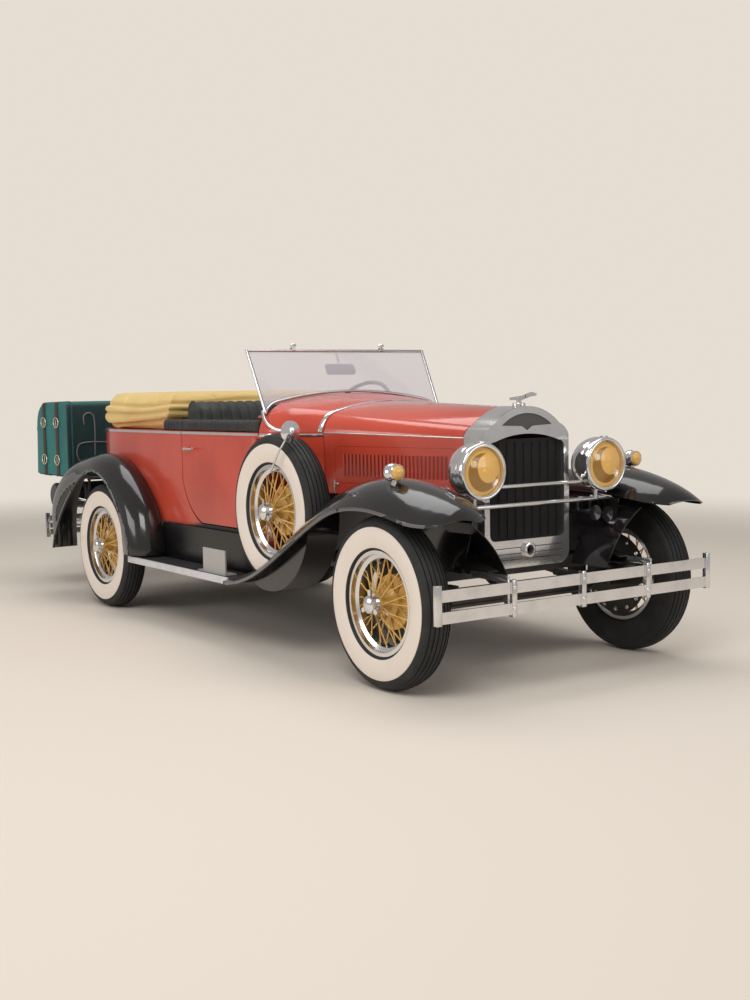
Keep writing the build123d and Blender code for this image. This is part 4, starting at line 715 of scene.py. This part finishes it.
shell_plate = plating("shell_plate", (0.74, 0.73, 0.735, 1), 0.11)
point = coordinates(shell_plate)
across, along, up = point.split()
sunk = along.between(-2.1385, -2.1335)
panel = sunk * up.within(1.110, 1.1105) * (1 - across.size().within(0.1535, 0.154))
dark = panel.either(sunk * (1 - up.within(APRON_TOP, APRON_TOP + 0.002)))
wear(
    shell_plate,
    Base_Color=dark.blend(base_paint(shell_plate), (0.085, 0.08, 0.083, 1)),
    Metallic=0.92 - dark * 0.92,
    Roughness=0.11 + dark * 0.05 + point.noise(30) * 0.06,
)
dress(shell_plate, "radiator_shell")

core_black = iron("core_black", (0.012, 0.012, 0.013, 1), (0.03, 0.026, 0.022, 1), 0.45, 240)
point = coordinates(core_black)
across, along, up = point.split()
cells = (across * 700).wave() * (up * 700).wave()
wear(core_black, Normal=relief(point, cells * 0.5 + 0.5, 0.002))
dress(core_black, "radiator_core")

bpy.ops.object.select_all(action="DESELECT")
bpy.ops.mesh.primitive_grid_add(x_subdivisions=46, y_subdivisions=46, size=0.72, rotation=(math.pi / 2, 0, 0))
guard = bpy.context.object
guard.name = "stone_guard"
guard = fixed(guard, (0, GUARD_FACE, GUARD_MIDDLE), (0, 45, 0))
cuts = [((GUARD_HALF, 0, 0), (1, 0, 0)), ((-GUARD_HALF, 0, 0), (-1, 0, 0))]
cuts += [((0, 0, GUARD_HIGH), (0, 0, 1)), ((0, 0, GUARD_LOW), (0, 0, -1))]
bpy.ops.object.mode_set(mode="EDIT")
for place, normal in cuts:
    bpy.ops.mesh.select_all(action="SELECT")
    bpy.ops.mesh.bisect(plane_co=place, plane_no=normal, clear_outer=True)
bpy.ops.object.mode_set(mode="OBJECT")
applied(guard, "WIREFRAME", thickness=GUARD_WIRE, use_replace=True)
guard_black = iron("guard_black", (0.016, 0.015, 0.016, 1), (0.04, 0.035, 0.03, 1), 0.35, 300, 0.5)
ready(guard, guard_black, "chassis_black", "chassis")

# Headlamps: plated bowls on a cross tube, glazed with amber-tinted fluted lenses in screwed bezels.
# The lens is pressed glass; a darker crescent to one side is painted on it as a reflection, and a pale spot near the
# top as a painted highlight.
# The horns below the left lamp are enamelled dark.
LAMP_X, LAMP_FACE, LAMP_Z = 0.368, -2.265, 0.947
FENDER_LAMP = (0.720, -2.117, 0.953)
FACING_FRONT, FACING_REAR, FACING_UP = (0, 0, -90), (0, 0, 90), (0, -90, 0)

lamp_plate = plating("lamp_plate", (0.76, 0.75, 0.75, 1), 0.08)
point = coordinates(lamp_plate)
across, along, up = point.split()
horn = (1 - up.within(0.764, 0.768)) * across.within(0.25, 0.26)
wear(
    lamp_plate,
    Base_Color=horn.blend(base_paint(lamp_plate), (0.035, 0.032, 0.034, 1)),
    Metallic=0.92 - horn * 0.5,
)
dress(lamp_plate, "headlamps", "fender_lamps")

lens_glass = bpy.data.materials.new("lens_glass")
point = coordinates(lens_glass)
across, along, up = point.split()
left = across.within(-0.001, 0.001) * 2 - 1
aside = across - left * LAMP_X
rise = up - LAMP_Z
# A darker crescent between two circles is painted on the amber as a reflection.
disc = ((aside - 0.026) ** 2.0 + (rise - 0.014) ** 2.0) ** 0.5
crescent_outer_distance = ((aside - 0.002) ** 2.0 + (rise + 0.004) ** 2.0) ** 0.5
painted_reflection_crescent = disc.within(0.062, 0.066) * (1 - crescent_outer_distance.within(0.082, 0.087))
# A pale spot near the top of each lens is a painted highlight.
painted_highlight_distance = ((aside + 0.056) ** 2.0 + (rise - 0.036) ** 2.0) ** 0.5
painted_highlight_streak = (1 - painted_highlight_distance.within(0.012, 0.018)) * 0.7
amber = painted_reflection_crescent.blend((0.87, 0.50, 0.115, 1), (0.34, 0.16, 0.015, 1))
wear(
    lens_glass,
    Base_Color=painted_highlight_streak.blend(amber, (0.95, 0.72, 0.33, 1)),
    Roughness=0.08 + point.noise(50) * 0.08,
    Coat_Weight=0.8,
    Normal=relief(point, (aside * 620).wave() * 0.5 + 0.5, 0.0012, 0.5),
)
dress(lens_glass, "headlamp_lenses")

bezel_section = [(-0.014, 0.1258), (0.006, 0.1262), (0.013, 0.1235), (0.0165, 0.118), (0.0165, 0.113)]
bezel_section += [(0.013, 0.1085), (0.002, 0.1068), (-0.014, 0.1068), (-0.014, 0.1258)]
bezel = turned("bezel_pattern", bezel_section, 72, closed=True)
screw = turned("screw_pattern", [(0, 0.006), (0.003, 0.006), (0.005, 0.003)], 12)
lamp_lens_shape = [(0.0, 0.031), (0.004, 0.0305), (0.009, 0.026), (0.012, 0.016), (0.0132, 0.004)]
lamp_ring_shape = [(-0.010, 0.0365), (0.004, 0.0375), (0.007, 0.034)]
lamp_ring_shape += [(0.004, 0.031), (-0.010, 0.031), (-0.010, 0.0365)]
for side, label in SIDES:
    x, y, z = side * LAMP_X, LAMP_FACE, LAMP_Z
    parts = [fixed(another(bezel, "bezel"), (x, y, z), FACING_FRONT)]
    parts.append(fixed(another(screw, "screw"), (x, y - 0.004, z - 0.1255), FACING_FRONT))
    parts.append(plate("hinge", (x - 0.014, y - 0.008, z + 0.120), (x + 0.014, y + 0.020, z + 0.132), 0.003))
    chromed(joined(parts, f"headlamp_bezel_{label}"))
    x, y, z = side * FENDER_LAMP[0], FENDER_LAMP[1] - 0.002, FENDER_LAMP[2]
    lamp_ring = turned(f"fender_lamp_ring_{label}", lamp_ring_shape, 40, closed=True)
    chromed(fixed(lamp_ring, (x, y, z), FACING_FRONT))
    lamp_glass = turned(f"fender_lamp_glass_{label}", lamp_lens_shape, 40)
    ready(fixed(lamp_glass, (x, y - 0.004, z), FACING_FRONT), lens_glass, "lens_amber", "chassis")
for spare in (bezel, screw):
    bpy.data.objects.remove(spare)

# Bumpers: flat spring-steel bars, plated, with rounded end caps and bolted clamps.
# Their sharp edges are ground round before plating; the clamp bolts have domed heads.
CLAMP_FACE, CLAMP_HEIGHTS, EDGE_ROUND = -2.510, (0.378, 0.468), 0.0028

bumper_plate = plating("bumper_plate", (0.77, 0.755, 0.76, 1), 0.13)
for end in ("front", "rear"):
    bars = merged(f"{end}_bumper", f"{end}_bumper_bars")
    ground(bars, EDGE_ROUND)
    ready(bars, bumper_plate, "chrome", "chassis", f"{end}_bumper")
dome = turned("dome_pattern", [(0, 0.0105), (0.0025, 0.0105), (0.0045, 0.009), (0.006, 0.004)], 16)
heads = []
for x in (-0.4, 0, 0.4):
    for z in CLAMP_HEIGHTS:
        heads.append(fixed(another(dome, "head"), (x, CLAMP_FACE + 0.001, z), FACING_FRONT))
chromed(joined(heads, "bumper_bolts"))
bpy.data.objects.remove(dome)

# Radiator cap and starting-handle boss: turned brass, plated, screwed into the shell.
# The cap has a raised rim; a bright ring is pressed round the hole for the starting handle.
ring = [(-0.001, 0.034), (0.004, 0.034), (0.006, 0.031), (0.006, 0.0225), (0.003, 0.0205)]
ring += [(-0.001, 0.0205), (-0.001, 0.034)]
boss = fixed(turned("crank_ring", ring, 40, closed=True), (0, -2.152, 0.566), FACING_FRONT)
chromed(boss)
cap_shape = [(0.0, 0.0295), (0.003, 0.0305), (0.011, 0.0305), (0.014, 0.0290), (0.0145, 0.012)]
cap = fixed(turned("radiator_cap_rim", cap_shape, 36), (0, -2.084, 1.2248), FACING_UP)
chromed(cap)

# Windscreen: one flat pane in a plated tube frame, raked back over the cowl.
# Two bent stays brace the frame to the cowl, and wing nuts wait on its rail for the top's front bow.
SCREEN_TOP, SCREEN_TOP_Y, WING_X = 1.532, -0.5688, 0.290

screen_plate = plating("screen_plate", (0.60, 0.58, 0.59, 1), 0.16)
dress(screen_plate, "windscreen_frame")
dress(bright_plate, "spare_mirrors")

pane = bpy.data.materials.new("pane_glass")
point = coordinates(pane)
across, along, up = point.split()
# Diagonal bands where the pane is less clear are a painted reflection.
slant = across * 0.8 + up
painted_highlight_streak = (slant * 9).wave().within(0.55, 0.95)
wear(
    pane,
    Base_Color=(0.72, 0.70, 0.76, 1),
    Roughness=0.03 + point.noise(8) * 0.04,
    Alpha=0.36 + painted_highlight_streak * 0.12,
    Coat_Weight=0.3,
)
dress(pane, "windscreen_glass")

stay_path = [(0.583, -0.733, 1.212), (0.592, -0.772, 1.165), (0.583, -0.835, 1.126), (0.556, -0.905, 1.108)]
for side, label in SIDES:
    stay = [(side * x, y, z) for x, y, z in stay_path]
    foot = turned("foot", [(0, 0.017), (0.004, 0.017), (0.008, 0.012), (0.011, 0.006)], 24)
    foot = fixed(foot, (side * 0.552, -0.908, 1.106), (0, 0, 0 if side > 0 else 180))
    chromed(joined([foot, rod("stay", stay, 0.0075)], f"screen_stay_{label}"))
    knob = turned("knob", [(0, 0.007), (0.010, 0.0075), (0.016, 0.010), (0.024, 0.010), (0.028, 0.006)], 20)
    x, y, z = side * WING_X, SCREEN_TOP_Y, SCREEN_TOP
    knob = fixed(knob, (x, y + 0.001, z + 0.012), FACING_UP)
    wing = plate("wing", (x - 0.020, y - 0.003, z + 0.024), (x + 0.020, y + 0.003, z + 0.036), 0.0028)
    chromed(joined([knob, wing], f"top_clamp_{label}"))

# Steering wheel and driving controls: a black composition wheel with a plated horn button.
# The levers are forged and plated; the pedals are black iron with rounded pads.
HUB = Vector((0.330, -0.311, 1.209))
COLUMN = Vector((0, 0.819391, 0.573241))

composition = bpy.data.materials.new("rim_composition")
point = coordinates(composition)
rub = point.noise(12, 4).within(0.4, 0.75)
wear(
    composition,
    Base_Color=rub.blend((0.075, 0.07, 0.075, 1), (0.14, 0.13, 0.135, 1)),
    Roughness=0.28 + rub * 0.15,
    Coat_Weight=0.3,
    Normal=relief(point, point.noise(70, 3), 0.0006),
)
dress(composition, "steering_wheel")
along_column = COLUMN.to_track_quat("X", "Z").to_euler()


def on_column(piece, ahead):
    """Seats a piece turned about X on the line of the steering column."""
    picked(piece)
    piece.matrix_world = Matrix.Translation(HUB + COLUMN * ahead) @ along_column.to_matrix().to_4x4()
    bpy.ops.object.transform_apply(location=True, rotation=True, scale=True)
    return piece


button = on_column(turned("horn_button", [(0, 0.022), (0.006, 0.022), (0.010, 0.018), (0.012, 0.008)], 32), 0.015)
chromed(button, "steering_wheel")

# Dials: five round instruments in the dash, each a black face under a plated hoop.
# The face is printed with a ring of marks and one plain hand.
DIAL_COUNT, DIAL_PITCH, DIAL_Z = 5, 0.145, 1.128

dial_face = bpy.data.materials.new("dial_face")
point = coordinates(dial_face)
across, along, up = point.split()
cell = (across + DIAL_PITCH * 10.5) * (1 / DIAL_PITCH)
offset = (cell.sum("FRACT", cell) - 0.5) * DIAL_PITCH
height = up - DIAL_Z
radius = (offset ** 2.0 + height ** 2.0) ** 0.5
angle = height.sum("ARCTAN2", height, offset)
ticks = (angle * 12).sum("COSINE", angle * 12).within(0.55, 0.75) * radius.between(0.029, 0.037)
slope = offset * 0.8 + height * 0.6
needle = (1 - slope.size().within(0.0012, 0.002)) * (1 - radius.within(0.030, 0.031))
mark = ticks.either(needle)
wear(
    dial_face,
    Base_Color=mark.blend((0.015, 0.015, 0.016, 1), (0.80, 0.76, 0.66, 1)),
    Roughness=0.3 + mark * 0.2,
    Coat_Weight=0.6,
)
hoop_shape = [(0, 0.046), (0.006, 0.045), (0.009, 0.0425), (0.009, 0.040), (0.004, 0.0388)]
hoop_shape += [(0, 0.0388), (0, 0.046)]
for i in range(DIAL_COUNT):
    x = DIAL_PITCH * (i - (DIAL_COUNT - 1) / 2)
    face = turned(f"dial_{i + 1}", [(0, 0.0395), (0.004, 0.0395), (0.005, 0.030)], 40)
    ready(fixed(face, (x, DASH_FACE + 0.001, DIAL_Z), FACING_REAR), dial_face, "control_grey", "chassis")
    hoop = turned(f"dial_hoop_{i + 1}", hoop_shape, 40, closed=True)
    chromed(fixed(hoop, (x, DASH_FACE + 0.0005, DIAL_Z), FACING_REAR))

# Levers and pedals: a gear lever in a leather boot, a hand brake beside it, two pedals under the column.
# The levers are forged steel, plated, with a moulded knob; the pedal arms are bent iron rod.
gear = rod("lever", [(0.0, -0.965, 0.575), (0.0, -0.955, 0.70), (0.006, -0.885, 0.86), (0.010, -0.820, 0.955)], 0.008)
knob_shape = [(-0.024, 0.008), (-0.018, 0.018), (-0.004, 0.024), (0.010, 0.021), (0.020, 0.010), (0.023, 0.003)]
knob = fixed(turned("knob", knob_shape, 24), (0.012, -0.812, 0.968), (0, -55, 90))
boot_shape = [(0, 0.055), (0.010, 0.052), (0.022, 0.040), (0.040, 0.030), (0.060, 0.018), (0.075, 0.011)]
boot = fixed(turned("boot", boot_shape, 24), (0, -0.965, 0.5755), FACING_UP)
ready(joined([knob, boot], "gear_knob_and_boot"), composition, "control_grey", "chassis")
brake_path = [(-0.930, 0.575), (-0.900, 0.72), (-0.830, 0.86), (-0.790, 0.92)]
brake = rod("brake", [(-0.075, y, z) for y, z in brake_path], 0.007)
chromed(joined([gear, brake], "gear_and_brake_levers"))
pedals = []
for x in (0.255, 0.405):
    pedals.append(rod("arm", [(x, -1.035, 0.578), (x, -1.020, 0.66), (x, -0.985, 0.715)], 0.006))
    pedals.append(plate("pad", (x - 0.032, -0.994, 0.700), (x + 0.032, -0.982, 0.765), 0.004, (-28, 0, 0)))
ready(joined(pedals, "foot_pedals"), frame_black, "chassis_black", "chassis")

# Upholstery: a bench seat and its back in dark leather, sewn in upright pleats over horsehair.
# The leather is blown up over its filling as cloth, then drawn in along the seams of the pleats.
PLEAT, PLEAT_DEPTH, SEAT_EDGE = 0.0625, 0.013, 0.56


def stuffed(name, node, voxel, slack, sewn, frames=16):
    """A copy of a CAD solid, remeshed, swelled as cloth over its filling, and drawn in by a function of the point."""
    pad = merged(node, name)
    applied(pad, "REMESH", mode="VOXEL", voxel_size=voxel, use_smooth_shade=True)
    mesh = pad.data
    for vertex in mesh.vertices:
        vertex.co -= vertex.normal * slack * 0.7
    before = [vertex.co.copy() for vertex in mesh.vertices]
    cloth = pad.modifiers.new("cloth", "CLOTH")
    cloth.settings.quality = 4
    cloth.settings.use_pressure = True
    cloth.settings.uniform_pressure_force = 4
    cloth.settings.effector_weights.gravity = 0
    for step in range(1, frames + 1):
        scene.frame_set(step)
    swelled = pad.evaluated_get(bpy.context.evaluated_depsgraph_get())
    after = [vertex.co.copy() for vertex in swelled.data.vertices]
    pad.modifiers.remove(cloth)
    scene.frame_set(1)
    for vertex, old, new in zip(mesh.vertices, before, after):
        move = new - old
        vertex.co = old + (move if move.length < slack else move * (slack / move.length))
    mesh.update()
    applied(pad, "SUBSURF", levels=1, render_levels=1)
    moves = [vertex.normal * sewn(vertex.co, vertex.normal) for vertex in pad.data.vertices]
    for vertex, move in zip(pad.data.vertices, moves):
        vertex.co += move
    pad.data.update()
    for face in pad.data.polygons:
        face.use_smooth = True
    return pad


def pleated(place, normal):
    """Drawn in at each seam of the upright pleats, on the faces that people sit on or lean against."""
    share = (place.x / PLEAT) % 1.0
    crown = math.sqrt(max(0.0, 1 - (2 * share - 1) ** 2))
    shown = max(0.0, normal.z, -normal.y, 0.6 * normal.y)
    border = min(1.0, abs(abs(place.x) - SEAT_EDGE) / 0.05) if abs(place.x) > 0.53 else 1.0
    return (crown - 1) * PLEAT_DEPTH * min(1.0, shown * 1.4) * border


def hide(name, colour, worn, grain=240, roughness=0.42):
    """Dressed leather: fine creased grain, paler where it is rubbed, a soft sheen."""
    finish = bpy.data.materials.new(name)
    point = coordinates(finish)
    rub = point.noise(6, 5).within(0.42, 0.75)
    pores = point.make("TexVoronoi", {"feature": "DISTANCE_TO_EDGE"}, {"Vector": point, "Scale": grain})
    creases = pores.within(0.0, 0.12) * 0.7 + point.noise(38, 5) * 0.6
    wear(
        finish,
        Base_Color=(rub * 0.6).blend(colour, worn),
        Roughness=roughness + rub * 0.12 + point.noise(90) * 0.1,
        Normal=relief(point, creases, 0.0012, 0.8),
    )
    return finish


seat_hide = hide("seat_hide", (0.028, 0.032, 0.030, 1), (0.085, 0.088, 0.082, 1))
for name, node, voxel in (("bench_cushion", "seat_cushion", 0.009), ("bench_back", "seat_back", 0.010)):
    pad = stuffed(name, node, voxel, 0.012, pleated)
    ready(pad, seat_hide, "leather_dark", "chassis", node)

# Coaming: a roll of black leather tacked round the cockpit, in one length behind and one on each door.
# It is stuffed firmly and pulled down by tacks every hand's breadth, so it puckers at each of them.
TACK_PITCH, TACK_HALF, TACK_DEPTH = 0.115, 0.014, 0.0035


def tacked(place, normal):
    """Drawn in at each tack, with fine creases along the sides."""
    share = (place.y / TACK_PITCH) % 1.0
    pucker = math.exp(-(((share - 0.5) * TACK_PITCH / TACK_HALF) ** 2))
    crease = 0.0008 * math.sin(place.y * 160) * abs(normal.x)
    return -TACK_DEPTH * pucker * max(0.0, normal.z * 0.4 + abs(normal.x) * 0.6) - crease


roll_hide = hide("roll_hide", (0.016, 0.015, 0.016, 1), (0.05, 0.046, 0.046, 1), 320, 0.3)
coamings = {"body_coaming": "chassis", "door_coaming_left": "door_left", "door_coaming_right": "door_right"}
for node, body in coamings.items():
    roll = stuffed(node.replace("coaming", "leather_roll"), node, 0.0055, 0.002, tacked, 8)
    ready(roll, roll_hide, "leather_dark", body, node)

# Folded top: pale yellow cloth on wooden bows, laid down in deep soft folds behind the seat.
# The folds lie over each other, bulge between the bows, and run round the rear in long creases.
# At the rear corners the loose cloth hangs a little way over the body's side.
CREASE_HEIGHTS, CREASE_DEPTH = (1.158, 1.212, 1.262), 0.020
THREAD = 2600
HANG_START, HANG_EDGE, HANG_TOP, HANG_DROP, HANG_OUT = 0.72, 0.54, 1.235, 0.105, 0.030

def folded(place, normal):
    """Three thick layers round the sides, and broad rolls across the top that sag between the bows."""
    wave = 0.012 * math.sin(place.x * 4.1 + 0.6) + 0.010 * math.sin(place.y * 5.3)
    wave += 0.006 * math.sin(place.x * 11 + place.y * 7)
    flank = math.sqrt(normal.x**2 + normal.y**2)
    move = 0.0
    for crease in CREASE_HEIGHTS:
        move -= CREASE_DEPTH * math.exp(-(((place.z - crease - wave * 0.8) / 0.011) ** 2)) * flank
    ripple = math.sin(place.y * 31 + 1.4 * math.sin(place.x * 3.1) + 0.8 * math.sin(place.y * 9))
    move += 0.0030 * ripple * max(0.0, normal.z)
    move -= 0.020 * math.exp(-(((place.y - 0.60 - wave) / 0.016) ** 2)) * max(0.0, normal.z)
    move -= 0.018 * math.exp(-(((place.y - 1.02 + wave) / 0.018) ** 2)) * max(0.0, normal.z)
    move += 0.002 * math.sin(place.x * 23 + 3 * math.sin(place.z * 17 + place.y * 2)) * flank
    return move


top_cloth = bpy.data.materials.new("top_cloth")
point = coordinates(top_cloth)
across, along, up = point.split()
weave = (across * THREAD).wave() * (along * THREAD).wave()
weave_side = (up * THREAD).wave() * ((across + along) * THREAD).wave()
cloud = point.noise(3.2, 5).within(0.35, 0.72)
grime = point.noise(9, 6).within(0.55, 0.85) * 0.35
# Lower down the cloth is painted a deeper orange as shade, over random patches of tone.
low = 1 - up.within(1.12, 1.24)
cloth_tone_and_painted_shade = (low * 0.3 + cloud * 0.2).blend((0.90, 0.65, 0.235, 1), (0.66, 0.35, 0.07, 1))
wear(
    top_cloth,
    Base_Color=grime.blend(cloth_tone_and_painted_shade, (0.42, 0.25, 0.09, 1)),
    Roughness=0.82 + point.noise(60) * 0.12,
    Normal=relief(point, weave * 0.2 + weave_side * 0.2 + point.noise(26, 5) * 0.9, 0.0022, 0.8),
)
shader(top_cloth).inputs["Sheen Weight"].default_value = 0.25
top = stuffed("folded_cloth_top", "folded_top", 0.0155, 0.016, folded, 14)
for vertex in top.data.vertices:
    place = vertex.co
    back_share = min(1.0, max(0.0, (place.y - HANG_START) / 0.38))
    edge_share = min(1.0, max(0.0, (abs(place.x) - HANG_EDGE) / 0.06))
    low_share = min(1.0, max(0.0, (HANG_TOP - place.z) / 0.125))
    hang = (back_share * edge_share) ** 1.3 * low_share
    place.x += math.copysign(HANG_OUT * hang, place.x)
    place.z -= HANG_DROP * hang
top.data.update()
ready(top, top_cloth, "top_cloth", "chassis", "folded_top")

# Trunk: a travelling case in teal leathercloth, tied down on the rack.
# Its edges are piped, the lid shuts on a plated clasp, and two harness straps go right round it.
# The face next to the body is painted a darker teal as shade, and carries the bent rods that tie the case to the
# rack.
STRAPS, STRAP_HALF, LID_SEAM = {"front": 2.075, "rear": 2.315}, 0.024, 1.085
PIPING_INNER, PIPING_OUTER = 0.581, 0.592
BUCKLE_X, BUCKLE_HEIGHTS, STAY_FACE = 0.6288, (1.13, 0.87), 1.8805


def strap_over(name, node, low, high, chosen, proud, slot, finish):
    """A strap that follows a CAD node's surface between two places across the car."""
    strap = band(name, node, [((high, 0, 0), (1, 0, 0)), ((low, 0, 0), (-1, 0, 0))], chosen, proud)
    ready(strap, finish, slot, "chassis")


strap_hide = hide("strap_hide", (0.045, 0.022, 0.014, 1), (0.11, 0.055, 0.032, 1), 300, 0.4)
leathercloth = bpy.data.materials.new("teal_leathercloth")
point = coordinates(leathercloth)
across, along, up = point.split()
cloud = point.noise(2.6, 4).within(0.3, 0.75)
scuff = point.noise(14, 6).within(0.6, 0.85)
pores = point.make("TexVoronoi", {"feature": "DISTANCE_TO_EDGE"}, {"Vector": point, "Scale": 210})
teal = cloud.blend((0.014, 0.225, 0.215, 1), (0.009, 0.145, 0.142, 1))
# The face next to the body is painted dark teal as shade.
teal = along.within(1.888, 1.912).blend((0.002, 0.030, 0.034, 1), teal)
wear(
    leathercloth,
    Base_Color=(scuff * 0.3).blend(teal, (0.10, 0.30, 0.28, 1)),
    Roughness=0.36 + scuff * 0.2 + point.noise(70) * 0.08,
    Normal=relief(point, pores.within(0.0, 0.1) + point.noise(5, 2) * 1.5, 0.0012, 0.7),
)
case = merged("trunk", "travelling_trunk")
applied(case, "BEVEL", width=0.024, segments=5, limit_method="ANGLE", angle_limit=math.radians(40))
bpy.ops.object.shade_smooth_by_angle(angle=math.radians(40))
ready(case, leathercloth, "trunk_teal", "chassis", "trunk")

piping = hide("trunk_piping", (0.010, 0.075, 0.075, 1), (0.03, 0.14, 0.135, 1), 300, 0.35)
for side, label in SIDES:
    low, high = sorted((side * PIPING_INNER, side * PIPING_OUTER))
    strap_over(
        f"trunk_piping_{label}", "trunk", low, high, lambda c, n: abs(n.x) < 0.8, 0.006, "trunk_teal", piping
    )
buckle_brass = plating("buckle_brass", (0.84, 0.74, 0.58, 1), 0.3)
for label, y in STRAPS.items():
    cuts = [((0, y + STRAP_HALF, 0), (0, 1, 0)), ((0, y - STRAP_HALF, 0), (0, -1, 0))]
    belt = band(f"trunk_strap_{label}", "trunk", cuts, lambda c, n: abs(n.y) < 0.5, 0.005)
    ready(belt, strap_hide, "leather_dark", "chassis")
    loops = []
    for x in (-BUCKLE_X, BUCKLE_X):
        for z in BUCKLE_HEIGHTS:
            corners = [(x, y + a, z + b) for a, b in ((-0.034, 0.02), (0.034, 0.02), (0.034, -0.02), (-0.034, -0.02))]
            loops.append(rod("loop", corners, 0.0045, closed=True))
            loops.append(rod("tongue", [(x, y, z + 0.02), (x, y, z - 0.024)], 0.003))
    ready(joined(loops, f"trunk_buckle_{label}"), buckle_brass, "chrome", "chassis")
seam = band(
    "trunk_lid_rail",
    "trunk",
    [((0, 0, LID_SEAM + 0.011), (0, 0, 1)), ((0, 0, LID_SEAM - 0.011), (0, 0, -1))],
    lambda c, n: n.y > 0.7,
    0.004,
)
ready(seam, piping, "trunk_teal", "chassis")
clasp = plate("clasp", (-0.032, 2.4905, 1.035), (0.032, 2.503, 1.115), 0.004, (-3, 0, 0))
hasp = turned("hasp", [(0, 0.013), (0.004, 0.013), (0.008, 0.009), (0.009, 0.004)], 24)
hasp = fixed(hasp, (0, 2.5025, 1.058), FACING_REAR)
chromed(joined([clasp, hasp], "trunk_clasp"))
post_path = [(0.43, 0.79), (0.43, 1.17), (0.445, 1.19), (0.485, 1.19), (0.50, 1.175), (0.50, 1.115)]
hook_path = [(0.20, 0.985), (0.53, 0.985), (0.55, 0.965), (0.55, 0.885), (0.53, 0.865), (0.43, 0.865)]
for side, label in SIDES:
    post = rod("post", [(side * x, STAY_FACE, z) for x, z in post_path], 0.006)
    hook = rod("hook", [(side * x, STAY_FACE, z) for x, z in hook_path], 0.0055)
    ready(joined([post, hook], f"trunk_stay_{label}"), bead_highlight_and_strap_grey, "fender_black", "chassis")
handle_path = [(-0.085, 1.268), (-0.07, 1.292), (0, 1.300), (0.07, 1.292), (0.085, 1.268)]
handle = rod("trunk_handle", [(x, 2.17, z) for x, z in handle_path], 0.008)
ready(handle, strap_hide, "leather_dark", "chassis")

# Rear: luggage rack and tail lamps.
# The rack is black tube; the lamps are plated cups with amber glass on bent arms from the frame.
TAIL_LAMP_X, TAIL_LAMP_Y, TAIL_LAMP_Z = 0.662, 1.795, 0.655

dress(fender_black, "luggage_rack")
arm_path = [(0.662, 1.755, 0.652), (0.640, 1.735, 0.630), (0.600, 1.70, 0.612), (0.43, 1.66, 0.600)]
for side, label in SIDES:
    lamp_cup = [(-0.05, 0.012), (-0.045, 0.022), (-0.018, 0.036), (0.0, 0.039), (0.004, 0.037), (0.001, 0.033)]
    cup = fixed(turned("cup", lamp_cup, 36), (side * TAIL_LAMP_X, TAIL_LAMP_Y, TAIL_LAMP_Z), FACING_REAR)
    arm = rod("arm", [(side * x, y, z) for x, y, z in arm_path], 0.008)
    chromed(joined([cup, arm], f"tail_lamp_{label}"))
    glass = turned(f"tail_lamp_glass_{label}", lamp_lens_shape, 36)
    glass = fixed(glass, (side * TAIL_LAMP_X, TAIL_LAMP_Y - 0.001, TAIL_LAMP_Z), FACING_REAR)
    ready(glass, lens_glass, "lens_amber", "chassis")

# Fuel tank: a black drum under the trunk, with a plated cap and two grey steel straps.
# The cap is a turned casting that screws down on the neck.
filler_shape = [(0, 0.034), (0.012, 0.034), (0.014, 0.040), (0.030, 0.040), (0.034, 0.036), (0.035, 0.016)]
filler = fixed(turned("tank_filler_cap", filler_shape, 32), (-0.41, 2.2275, 0.700), FACING_UP)
chromed(filler)


def round_tank(place, normal):
    return abs(normal.x) < 0.5 and place.y > 2.125


for side, label in SIDES:
    low, high = sorted((side * 0.375, side * 0.410))
    strap_over(f"tank_strap_{label}", "fuel_tank", low, high, round_tank, 0.003, "fender_black", bead_highlight_and_strap_grey)

# Running boards: ribbed rubber mats on steel trays, edged with a rolled aluminium strip.
# The ribs run lengthways; the step plate by the front fender is cast aluminium with raised diamonds.
BOARD_OUTER, BOARD_TOP, BOARD_UNDER = 0.800, 0.352, 0.322
BOARD_FRONT, BOARD_REAR, STEP_REAR = -0.707, 0.535, -0.300
RIB_COUNT, RIB_FIRST, RIB_PITCH, RIB_HALF = 9, 0.651, 0.0155, 0.004

rubber_mat = bpy.data.materials.new("rubber_mat")
point = coordinates(rubber_mat)
across, along, up = point.split()
reach = across.size()
raised = up.within(0.3532, 0.3536) * reach.within(0.68, 0.681)
valance = 1 - reach.within(0.632, 0.6335)
dust = point.noise(9, 5).within(0.4, 0.78)
diamonds = ((across + along) * 210).wave() * ((across - along) * 210).wave()
mat = (dust * 0.5).blend((0.022, 0.020, 0.021, 1), (0.085, 0.07, 0.058, 1))
wear(
    rubber_mat,
    Base_Color=valance.blend(raised.blend(mat, (0.50, 0.48, 0.46, 1)), (0.0065, 0.006, 0.0065, 1)),
    Metallic=raised * 0.3,
    Roughness=0.6 - raised * 0.2 - valance * 0.48 + point.noise(60) * 0.15,
    Normal=relief(point, raised * diamonds.within(0.1, 0.4) + point.noise(300, 2) * 0.3, 0.0012),
)
dress(rubber_mat, "running_boards")
edge_metal = plating("edge_metal", (0.74, 0.73, 0.76, 1), 0.35)
shader(edge_metal).inputs["Metallic"].default_value = 0.35
for side, label in SIDES:
    ribs = []
    for i in range(RIB_COUNT):
        x = side * (RIB_FIRST + RIB_PITCH * i)
        low = (x - RIB_HALF, BOARD_FRONT + 0.01 if i < 4 else STEP_REAR, BOARD_TOP - 0.002)
        high = (x + RIB_HALF, BOARD_REAR - 0.01, BOARD_TOP + 0.0035)
        ribs.append(plate("rib", low, high, 0.002, segments=2))
    ready(joined(ribs, f"running_board_ribs_{label}"), rubber, "board_rubber", "chassis")
    low, high = sorted((side * (BOARD_OUTER - 0.010), side * (BOARD_OUTER + 0.005)))
    low, high = (low, BOARD_FRONT, BOARD_UNDER - 0.003), (high, BOARD_REAR, BOARD_TOP + 0.005)
    edge = plate(f"running_board_edge_{label}", low, high, 0.0045)
    ready(edge, edge_metal, "chrome", "chassis")
